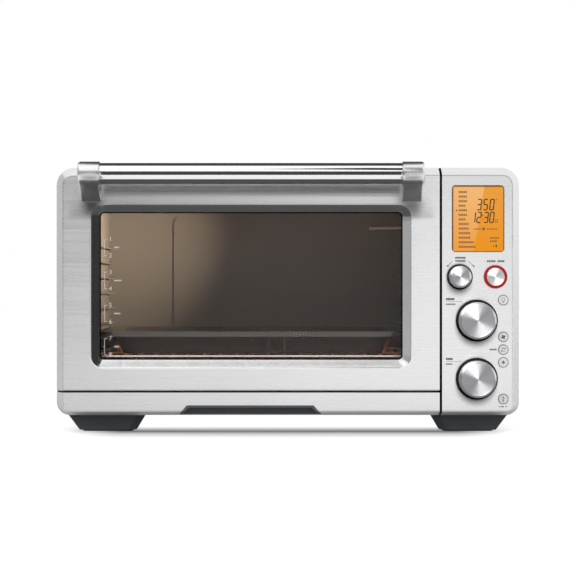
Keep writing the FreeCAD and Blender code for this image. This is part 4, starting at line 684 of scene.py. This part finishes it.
class Print:
    """Flat marks on a surface that faces the front, gathered into one thin mesh."""

    def __init__(self, name, surface):
        self.name = name
        self.surface = surface
        self.mesh = bmesh.new()

    def place(self, verts, x, z, turn=0.0):
        matrix = Matrix.Translation((x, z, 0)) @ Matrix.Rotation(turn, 4, "Z")
        bmesh.ops.transform(self.mesh, matrix=matrix, verts=verts)

    def bar(self, x, z, width, height, turn=0.0, slant=0.0):
        """A bar about its middle, which may be turned or lean over."""
        verts = bmesh.ops.create_grid(self.mesh, x_segments=1, y_segments=1, size=0.5)["verts"]
        for vert in verts:
            vert.co.x, vert.co.y = vert.co.x * width + vert.co.y * height * slant, vert.co.y * height
        self.place(verts, x, z, turn)

    def line(self, start, end, width):
        run = Vector(end) - Vector(start)
        centre = (Vector(start) + Vector(end)) / 2
        self.bar(centre.x, centre.y, run.length, width, math.atan2(run.y, run.x))

    def disc(self, x, z, radius, sides, turn=0.0):
        """A disc, or with three sides a triangle that points along its turn."""
        verts = bmesh.ops.create_circle(self.mesh, cap_ends=True, segments=sides, radius=radius)["verts"]
        self.place(verts, x, z, turn)

    def ring(self, x, z, radius, width, sides=48):
        outer, inner = (bmesh.ops.create_circle(self.mesh, segments=sides, radius=size)["verts"]
                        for size in (radius, radius - width))
        edges = {edge for vert in outer + inner for edge in vert.link_edges}
        bmesh.ops.bridge_loops(self.mesh, edges=list(edges))
        self.place(outer + inner, x, z)

    def words(self, left, z, blocks, *lengths):
        """A row of words, each as many blocks long as its length says."""
        x = left
        for length in lengths:
            for _ in range(length):
                self.bar(x + (blocks.pitch - blocks.gap) / 2, z, blocks.pitch - blocks.gap, blocks.height)
                x += blocks.pitch
            x += blocks.pitch

    def arrow(self, start, end, width, head):
        """A straight arrow with a filled head at its end."""
        run = Vector(end) - Vector(start)
        self.line(start, end, width)
        self.disc(*end, head, 3, math.atan2(run.y, run.x))

    def numeral(self, text, x, z, height):
        """A plain printed number about its middle."""
        curve = bpy.data.curves.new("numeral", "FONT")
        curve.body = text
        curve.align_x = "CENTER"
        curve.align_y = "CENTER"
        curve.size = height / NUMERAL_SHARE
        holder = bpy.data.objects.new("numeral", curve)
        flat = bpy.data.meshes.new_from_object(holder)
        before = len(self.mesh.verts)
        self.mesh.from_mesh(flat)
        self.place(self.mesh.verts[before:], x, z)
        bpy.data.objects.remove(holder)
        bpy.data.curves.remove(curve)
        bpy.data.meshes.remove(flat)

    def segments(self, digit, x, z, height, width, stroke, slant=0.1):
        """A seven-segment digit about its middle, leaning a little to the right."""
        lit = SEVEN_SEGMENTS[digit]
        gap = stroke * SEGMENT_GAP_SHARE
        half = height / 2
        long_side = half - stroke / 2 - gap * 2
        for name, level in (("a", half - stroke / 2), ("g", 0), ("d", stroke / 2 - half)):
            if name in lit:
                self.bar(x + level * slant, z + level, width - stroke - gap * 2, stroke)
        for name, side, level in (("f", -1, 1), ("b", 1, 1), ("e", -1, -1), ("c", 1, -1)):
            if name in lit:
                rise = level * (half - stroke / 2) / 2
                self.bar(x + side * (width - stroke) / 2 + rise * slant, z + rise, stroke,
                         long_side, slant=slant)

    def made(self, finish, body):
        """Gives the marks their thickness, stands them up and puts them on the surface."""
        face_outward(self.mesh)
        for face in self.mesh.faces:
            if face.normal.z < 0:
                face.normal_flip()
        extruded = bmesh.ops.extrude_face_region(self.mesh, geom=self.mesh.faces[:])["geom"]
        raised = [part for part in extruded if isinstance(part, bmesh.types.BMVert)]
        bmesh.ops.translate(self.mesh, verts=raised, vec=(0, 0, PRINT_THICKNESS))
        stand = Matrix.Translation((0, self.surface - PRINT_RISE, 0)) @ Matrix.Rotation(math.pi / 2, 4, "X")
        bmesh.ops.transform(self.mesh, matrix=stand, verts=self.mesh.verts[:])
        face_outward(self.mesh)
        mesh_piece(self.name, self.mesh, finish, body)


def window_print():
    """Shelf numbers 1 to 8 down the left of the glass, paired by brackets, with a small mark by each pair."""
    numbers_column, first_row, last_row = 109.9, 239, 355
    levels = 8
    numeral_height = 5.0 * MM
    stroke = 0.5 * MM
    bracket_arm = 3.2 * MM
    tick = 2.4 * MM
    blocks = Blocks(height=1.7 * MM, pitch=1.25 * MM, gap=0.4 * MM)
    marks = Print("window_print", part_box("door_glass")[0].y)
    left, top = at_pixel(numbers_column, first_row)
    left, bottom = at_pixel(numbers_column, last_row)
    pitch = (top - bottom) / (levels - 1)
    bracket = left - 6.8 * MM
    words_left = left + 4.4 * MM
    for level in range(levels):
        z = top - level * pitch
        between = z - pitch / 2
        marks.numeral(str(level + 1), left, z, numeral_height)
        marks.line((bracket, z), (bracket + bracket_arm, z), stroke)
        if level % 2 == 0:
            marks.line((bracket, z + stroke / 2), (bracket, z - pitch - stroke / 2), stroke)
            if level:
                marks.line((bracket - tick, between), (bracket, between), stroke)
            marks.words(words_left, between, blocks, 5 + level % 3)
    marks.made(white_ink, "door")


def select_print(marks):
    """Two rows of small print over the select knob, between two arrows that point down to its sides."""
    words_column = 455.2
    row_width = 12.4 * MM
    for row, length in ((257.8, 6), (260.9, 7)):
        blocks = Blocks(height=2.1 * MM, pitch=row_width / length, gap=0.45 * MM)
        marks.words(*at_pixel(words_column, row), blocks, length)
    tail_row, head_row = 260.9, 266.1
    for tail_column, head_column in ((452.8, 447.6), (467.9, 473.6)):
        marks.arrow(at_pixel(tail_column, tail_row), at_pixel(head_column, head_row), 0.45 * MM, 1.5 * MM)


def knob_print(marks, row, top_length, low_length):
    """A rule on the left of a large knob, with a bold word over it and a fine one under it."""
    words_column = 446.0
    rule_length = 19 * MM
    spacing = 3.0 * MM
    bold = Blocks(height=2.5 * MM, pitch=2.0 * MM, gap=0.35 * MM)
    fine = Blocks(height=1.7 * MM, pitch=1.9 * MM, gap=0.6 * MM)
    x, z = at_pixel(words_column, row)
    marks.words(x, z + spacing, bold, top_length)
    marks.words(x, z - spacing, fine, low_length)
    marks.line((x, z), (x + rule_length, z), 0.3 * MM)


def panel_print():
    """The small print of the control panel, as plain bars, lines and arrows."""
    start_place = (486.9, 261.2)
    rotate_place = (489.7, 349.5)
    phase_place = (499.2, 406.6)
    marks = Print("panel_print", STEEL_FACE)
    select_print(marks)
    marks.words(*at_pixel(*start_place), Blocks(2.2 * MM, 2.07 * MM, 0.5 * MM), 5, 4)
    for row, top_length, low_length in ((301.7, 5, 6), (361.5, 4, 4)):
        knob_print(marks, row, top_length, low_length)
    marks.words(*at_pixel(*rotate_place), Blocks(1.9 * MM, 1.65 * MM, 0.4 * MM), 5)
    x, z = at_pixel(*phase_place)
    marks.disc(x, z, 1.1 * MM, 3, math.pi)
    marks.words(x + 2.0 * MM, z, Blocks(1.6 * MM, 1.8 * MM, 0.5 * MM), 2, 1)
    marks.made(black_ink, "oven")


def display_list():
    """The display's small print: a column of short rows, with a few words at the lower right."""
    list_place = (458.7, 192.0)
    list_pitch = 5.35 * MM
    list_lengths = (5, 5, 5, 4, 5, 5, 4, 6, 6, 7, 7, 9, 10)
    unit_column, unit_rows = 495.0, (219.9, 222.1)
    phase_place = (474.0, 229.0)
    phase_spacing = 15.2 * MM
    corner_column = 490.0
    list_blocks = Blocks(height=2.4 * MM, pitch=2.0 * MM, gap=0.45 * MM)
    unit_blocks = Blocks(height=1.4 * MM, pitch=1.9 * MM, gap=0.5 * MM)
    phase_blocks = Blocks(height=1.4 * MM, pitch=2.1 * MM, gap=0.5 * MM)
    corner_blocks = Blocks(height=2.0 * MM, pitch=2.1 * MM, gap=0.5 * MM)
    marks = Print("display_small_print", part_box("display_lens")[0].y)
    left, top = at_pixel(*list_place)
    for row, length in enumerate(list_lengths):
        marks.words(left, top - row * list_pitch, list_blocks, length)
    for row in unit_rows:
        marks.words(*at_pixel(unit_column, row), unit_blocks, 2)
    x, z = at_pixel(*phase_place)
    marks.words(x, z, phase_blocks, 4)
    marks.words(x + phase_spacing, z, phase_blocks, 6)
    for row, length in ((238.0, 5), (241.2, 4)):
        marks.words(*at_pixel(corner_column, row), corner_blocks, length)
    marks.made(display_faint, "oven")


DIGIT_INSET = 3.2 * MM
DIGIT_WIDTH = 5.6 * MM
DIGIT_STROKE = 1.3 * MM
COLON_SPACE = 1.6 * MM
COLON_DOT = 0.65 * MM
COLON_SHARE = 0.18


def display_digits(marks, text, column, rows, step, colon=False):
    """A row of plain digits as high as two rows of the photograph, with a colon after the second."""
    (left, high_z), (left, low_z) = (at_pixel(column, row) for row in rows)
    start = left + DIGIT_INSET
    centre = (high_z + low_z) / 2
    height = high_z - low_z
    for index, digit in enumerate(text):
        shift = COLON_SPACE if colon and index > 1 else 0
        marks.segments(digit, start + index * step + shift, centre, height, DIGIT_WIDTH, DIGIT_STROKE)
    if colon:
        for level in (-COLON_SHARE, COLON_SHARE):
            marks.disc(start + 1.5 * step + 0.9 * MM, centre + level * height, COLON_DOT, 12)


def display_figures():
    """The display's two rows of plain digits and its few small signs."""
    pointer_place = (456.4, 210.4)
    heat_column, heat_rows = 476.6, (198.8, 210.4)
    clock_column, clock_rows = 470.6, (211.8, 223.0)
    degree_place = (496.5, 199.6)
    sign_place = (483.6, 229.0)
    corner_place = (493.4, 245.9)
    marks = Print("display_figures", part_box("display_lens")[0].y)
    marks.disc(*at_pixel(*pointer_place), 1.3 * MM, 3)
    display_digits(marks, "350", heat_column, heat_rows, 7.4 * MM)
    display_digits(marks, "1230", clock_column, clock_rows, 6.7 * MM, colon=True)
    marks.ring(*at_pixel(*degree_place), 0.9 * MM, 0.35 * MM, 16)
    x, z = at_pixel(*sign_place)
    marks.ring(x, z, 1.7 * MM, 0.5 * MM, 20)
    marks.disc(x, z, 0.7 * MM, 12)
    x, z = at_pixel(*corner_place)
    marks.disc(x, z, 1.0 * MM, 3, math.pi / 2)
    marks.bar(x + 3.2 * MM, z, 1.3 * MM, 3.2 * MM)
    marks.made(display_ink, "oven")


BUTTON_RING_RADIUS = 5.85 * MM
BUTTON_RING_WIDTH = 0.55 * MM


def button_mark(name, draw):
    """The ring and the sign on a small round button."""
    centre = middle(name)
    marks = Print(name.replace("_button", "_sign"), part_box(name)[0].y)
    marks.ring(centre.x, centre.z, BUTTON_RING_RADIUS, BUTTON_RING_WIDTH)
    draw(marks, centre.x, centre.z)
    marks.made(black_ink, name.replace("_button", "_push"))


def lamp_sign(marks, x, z):
    marks.ring(x, z + 0.6 * MM, 2.1 * MM, 0.4 * MM, 24)
    for drop in (1.9 * MM, 2.6 * MM):
        marks.bar(x, z - drop, 1.7 * MM, 0.4 * MM)


def fan_sign(marks, x, z):
    blades = 4
    blade_reach = 1.5 * MM
    for blade in range(blades):
        turn = blade * math.tau / blades + 0.5
        marks.disc(x + blade_reach * math.cos(turn), z + blade_reach * math.sin(turn), 0.95 * MM, 12)
    marks.disc(x, z, 0.6 * MM, 12)


def turning_sign(marks, x, z):
    """Two short arrows that point opposite ways."""
    rise = 1.5 * MM
    for side in (-1, 1):
        marks.bar(x, z + side * rise, 3.4 * MM, 0.5 * MM)
        marks.disc(x + side * 2.2 * MM, z + side * rise, 1.0 * MM, 3, 0 if side > 0 else math.pi)


def frost_sign(marks, x, z):
    for spoke in range(3):
        marks.bar(x, z, 5.2 * MM, 0.45 * MM, spoke * math.pi / 3 + math.pi / 2)
    marks.ring(x, z, 1.6 * MM, 0.35 * MM, 6)


def phase_sign(marks, x, z):
    """Two dots on either side of a slanting line."""
    marks.disc(x - 0.2 * MM, z + 2.0 * MM, 0.9 * MM, 12)
    marks.line((x - 1.6 * MM, z - 1.2 * MM), (x + 1.8 * MM, z + 0.8 * MM), 0.45 * MM)
    marks.disc(x, z - 2.2 * MM, 0.8 * MM, 12)


window_print()
panel_print()
display_list()
display_figures()
for button, sign in (("light_button", lamp_sign), ("fan_button", fan_sign), ("rotate_button", turning_sign),
                     ("frozen_button", frost_sign), ("phase_button", phase_sign)):
    button_mark(button, sign)


# The floor and the white room

FLOOR_REACH = 12
FLOOR_GLOW = 0.74
# The floor's painted shadow: where it starts in front, its darkest line, where it ends under the oven, its
# glow there, and its width between the feet
SHADOW_START = -0.265
SHADOW_LINE = -0.150
SHADOW_BACK = -0.148
SHADOW_END = -0.06
PAINTED_SHADOW_GLOW = 0.07
PAINTED_GLOW_UNDER_OVEN = 0.95
BETWEEN_FEET = 0.20
BESIDE_FEET = 0.26
ROOM_FOR_DIFFUSE = 0.75


def floor():
    """The pale floor: white to the eye, with a painted shadow in a line under the oven's front and painted
    white further under it, and dimmer to metal near the oven as painted shade.
    """
    finish = Finish("studio_floor", (0.4, 0.4, 0.4), 0.9)
    finish.shades(finish.noise(30, 2, 0.5), 0.99, 1.01)
    seen = finish.node("LightPath").outputs
    parts = finish.node("SeparateXYZ", {0: finish.place}).outputs
    eye = finish.math("MAXIMUM", seen["Is Camera Ray"], seen["Is Transmission Ray"])
    # Painted shadow: the glow falls to a dark line under the oven's front and rises to white again further
    # under the oven, between the feet
    painted_shadow_ahead = finish.spread(parts["Y"], SHADOW_START, SHADOW_LINE, FLOOR_GLOW, PAINTED_SHADOW_GLOW)
    behind = finish.spread(parts["Y"], SHADOW_BACK, SHADOW_END, 0.0, PAINTED_GLOW_UNDER_OVEN)
    sideways = finish.math("ABSOLUTE", parts["X"])
    under = finish.spread(sideways, BETWEEN_FEET, BESIDE_FEET, 1.0, 0.0)
    eye_level_with_painted_shadow = finish.spread(under, 0.0, 1.0, FLOOR_GLOW, finish.math("ADD", painted_shadow_ahead, behind))
    # Painted shade: to metal the floor glows less near the oven
    mirrored_level_with_painted_shade = finish.spread(parts["Y"], -0.36, -0.22, 0.6, 0.2)
    mirrored = finish.math("MULTIPLY", seen["Is Glossy Ray"], mirrored_level_with_painted_shade)
    finish.set("Emission Color", (1, 1, 1, 1))
    finish.set("Emission Strength", finish.math("ADD", finish.math("MULTIPLY", eye, eye_level_with_painted_shadow), mirrored))
    mesh = bmesh.new()
    bmesh.ops.create_grid(mesh, x_segments=1, y_segments=1, size=FLOOR_REACH)
    mesh_piece("studio_floor", mesh, finish)


def studio():
    """A room that is white to the eye, to glass and to metal, and a little dimmer as light on the oven."""
    world = bpy.data.worlds.new("studio")
    bpy.context.scene.world = world
    world.use_nodes = True
    tree = world.node_tree
    background = tree.nodes["Background"]
    seen = tree.nodes.new("ShaderNodeLightPath").outputs
    level = tree.nodes.new("ShaderNodeMapRange")
    level.inputs["To Min"].default_value = 1.0
    level.inputs["To Max"].default_value = ROOM_FOR_DIFFUSE
    tree.links.new(seen["Is Diffuse Ray"], level.inputs["Value"])
    tree.links.new(level.outputs["Result"], background.inputs["Strength"])
    background.inputs["Color"].default_value = (1, 1, 1, 1)
    world.cycles.sampling_method = "NONE"


# Cards and flags, as a photographer places them, and small dark cards close to the oven's face that paint
# shade on it: only reflections in metal see them, from one side

TO_OVEN = Vector((0, 1, 0))
TO_FRONT = Vector((0, -1, 0))
TO_LEFT = Vector((-1, 0, 0))
UPWARD = Vector((0, 0, 1))
KNOBS = Vector((0.22, -0.19, 0.12))
SOFTBOX = Vector((-0.15, -1.24, 1.78))
SOFTBOX_AIM = Vector((0, -0.21, 0.30))
SOFTBOX_SIZE = (2.4, 2.34)
BAR_MIDDLE = -0.0425
WINDOW_MIDDLE = -0.043
SHADE_DROP = 7 * MM
SHADE_MARGIN = 2 * MM
SHADE_CLEARANCE = 6 * MM
DARK = 0.06


def card_finish(name, level):
    """A card's plain glow."""
    finish = Finish(name, (0, 0, 0), 1.0)
    finish.glow((1, 1, 1), level)
    finish.set("Specular IOR Level", 0.0)
    finish.material.cycles.emission_sampling = "NONE"
    return finish


def room_finish(name, left_level, right_level):
    """The room in front of the oven, brighter to the right, darker high up and dimmer beyond both sides."""
    finish = card_finish(name, 1.0)
    parts = finish.node("SeparateXYZ", {0: finish.place}).outputs
    low = finish.spread(parts["X"], -0.6, 0.1, left_level, right_level)
    high = finish.spread(parts["X"], 0.2, 0.9, 0.08, 0.40)
    level = finish.spread(parts["Z"], 0.45, 0.75, low, high)
    inside = finish.spread(parts["X"], -1.15, -0.75, 0.05, level)
    finish.set("Emission Strength", finish.spread(parts["X"], 0.75, 1.15, inside, 0.45))
    return finish.one_sided()


def card(finish, place, towards, size, roll=0.0):
    """A card at a place, facing one way."""
    mesh = bmesh.new()
    bmesh.ops.create_grid(mesh, x_segments=1, y_segments=1, size=0.5)
    bmesh.ops.scale(mesh, vec=(size[0], size[1], 1), verts=mesh.verts[:])
    turned = towards.to_track_quat("Z", "Y").to_matrix().to_4x4()
    turned = Matrix.Translation(place) @ turned @ Matrix.Rotation(roll, 4, "Z")
    bmesh.ops.transform(mesh, matrix=turned, verts=mesh.verts[:])
    piece = mesh_piece(finish.material.name, mesh, finish)
    for kind in ("camera", "diffuse", "transmission", "volume_scatter", "shadow"):
        setattr(piece, "visible_" + kind, False)


def flag(name, place, towards, size, level, roll=0.0):
    card(card_finish(name, level).one_sided(), place, towards, size, roll)


def soft_flag(name, place, size, solid, level):
    """An oval dark card close to the oven's face that paints shade: dark up to a share of its size and faded
    beyond it.
    """
    finish = card_finish(name, level)
    from_middle = finish.stretched((2 / size[0], 0, 2 / size[1]), place)
    reach = finish.math3("LENGTH", from_middle, out="Value")
    finish.one_sided(finish.spread(reach, solid, 1.0))
    card(finish, place, TO_OVEN, size)


def knob_shade(skirt):
    """A dark card close to the panel that paints the soft shade a knob throws below itself."""
    low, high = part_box(skirt)
    radius = (high.x - low.x) / 2
    reach = radius + SHADE_MARGIN
    place = (middle(skirt).x, STEEL_FACE - SHADE_CLEARANCE, middle(skirt).z - SHADE_DROP)
    soft_flag(skirt + "_shade", place, (reach * 2, reach * 2), (radius - SHADE_DROP) / reach, DARK)


def room_cards():
    """The softbox as the metal sees it, and the room in front of the oven and on its floor."""
    flag("softbox_card", SOFTBOX, SOFTBOX_AIM - SOFTBOX, SOFTBOX_SIZE, 1.18)
    card(room_finish("front_card", 0.49, 1.27), (0, -3.0, 1.1), TO_OVEN, (6.0, 2.2))
    card(room_finish("floor_card", 0.40, 1.27), (0, -2.1, 0.004), UPWARD, (6.0, 1.7))


def bar_flags():
    """What makes the bar's dark bands, and dark cards that paint the shade round it on the face and in the
    window's funnel.
    """
    flag("handle_strip_flag", (BAR_MIDDLE, -0.26, 0.304), TO_OVEN, (0.352, 0.031), DARK)
    flag("handle_back_flag", (BAR_MIDDLE, -0.204, 0.6535), TO_FRONT, (0.42, 0.673), DARK)
    flag("near_flag", (WINDOW_MIDDLE, -0.216, 0.250), UPWARD, (0.430, 0.050), 0.085)
    flag("surround_top_flag", (WINDOW_MIDDLE, -0.186, 0.2485), UPWARD, (0.350, 0.028), 0.085)
    flag("bar_shade_flag", (BAR_MIDDLE, -0.198, 0.2835), TO_OVEN, (0.349, 0.011), 0.1)
    flag("surround_flag", (-0.195, -0.191, 0.174), TO_LEFT, (0.038, 0.186), 0.035)


def arm_flags(cap, back_level, shade_level):
    """What one end casting sees before and behind itself, and a dark card that paints the shade it throws on
    the face.
    """
    x = middle(cap).x
    flag(cap + "_upper_flag", (x, -0.245, 0.295), TO_OVEN, (0.025, 0.020), 0.68)
    flag(cap + "_flag", (x, -0.245, 0.2695), TO_OVEN, (0.027, 0.031), 0.38)
    flag(cap + "_back_flag", (x, STEEL_FACE - 1 * MM, 0.245), TO_FRONT, (0.042, 0.056), back_level)
    soft_flag(cap + "_shade", (x, STEEL_FACE - 8 * MM, 0.268), (0.034, 0.038), 0.25, shade_level)


def side_flags():
    """Dimmer walls on the left of the oven, and a narrow dark one for the turned metal."""
    left_side = Vector((-1.6, -1.0, 0.6))
    left_back = Vector((-1.7, 0.5, 0.6))
    knob_side = Vector((0.552, -0.879, 0.594))
    flag("left_side_flag", left_side, Vector((0.1, -0.17, 0.2)) - left_side, (1.2, 1.3), 0.37)
    flag("left_back_flag", left_back, Vector((0, 0.1, 0.2)) - left_back, (1.9, 1.3), 0.50)
    flag("knob_flag", knob_side, KNOBS - knob_side, (0.30, 1.45), 0.02, roll=math.radians(-35))


# Lamps and camera

def lamp(name, place, aim, size, watts, color=(1, 1, 1), fan=180, shines=False):
    """A flat soft lamp at a place, turned towards its aim."""
    light = bpy.data.lights.new(name, "AREA")
    light.shape = "RECTANGLE"
    light.size, light.size_y = size
    light.energy = watts
    light.color = color
    light.spread = math.radians(fan)
    piece = linked(name, light)
    piece.location = place
    piece.rotation_euler = (Vector(aim) - Vector(place)).to_track_quat("-Z", "Y").to_euler()
    piece.visible_camera = False
    piece.visible_glossy = shines
    piece.visible_transmission = False
    return piece


def lamps():
    """The soft top light, two lamps that only the turned metal takes, and the oven's own warm light."""
    lamp("top_softbox", SOFTBOX, SOFTBOX_AIM, SOFTBOX_SIZE, 21)
    knob_lamp = lamp("knob_lamp", (-0.23, -0.99, 0.94), KNOBS, (1.75, 0.9), 72, shines=True)
    chamfer_lamp = lamp("chamfer_lamp", (1.05, -0.42, 0.12), KNOBS, (0.3, 0.9), 5.5, shines=True)
    for light in (knob_lamp, chamfer_lamp):
        light.light_linking.receiver_collection = turned_metal
    lamp("cavity_lamp", (0.14, -0.10, 0.25), (-0.24, 0.10, 0.24), (0.03, 0.03), 0.8,
         color=(1.0, 0.82, 0.62), fan=50)


CAMERA_SIDE = 0.2 * MM
CAMERA_DISTANCE = 2.4775
CAMERA_LENS = 122.8
SENSOR_WIDTH = 36


def camera():
    data = bpy.data.cameras.new("photo_camera")
    data.lens = CAMERA_LENS
    data.sensor_width = SENSOR_WIDTH
    piece = linked("photo_camera", data)
    piece.location = (CAMERA_SIDE, -CAMERA_DISTANCE, EYE_HEIGHT)
    piece.rotation_euler = (math.pi / 2, 0, 0)
    bpy.context.scene.camera = piece


floor()
studio()
lamps()
room_cards()
bar_flags()
arm_flags("handle_bracket_left", back_level=0.07, shade_level=0.07)
arm_flags("handle_bracket_right", back_level=0.115, shade_level=0.19)
for skirt in ("select_knob_skirt", "temp_knob_skirt", "time_knob_skirt"):
    knob_shade(skirt)
side_flags()
camera()
bpy.context.scene.view_settings.view_transform = "Standard"
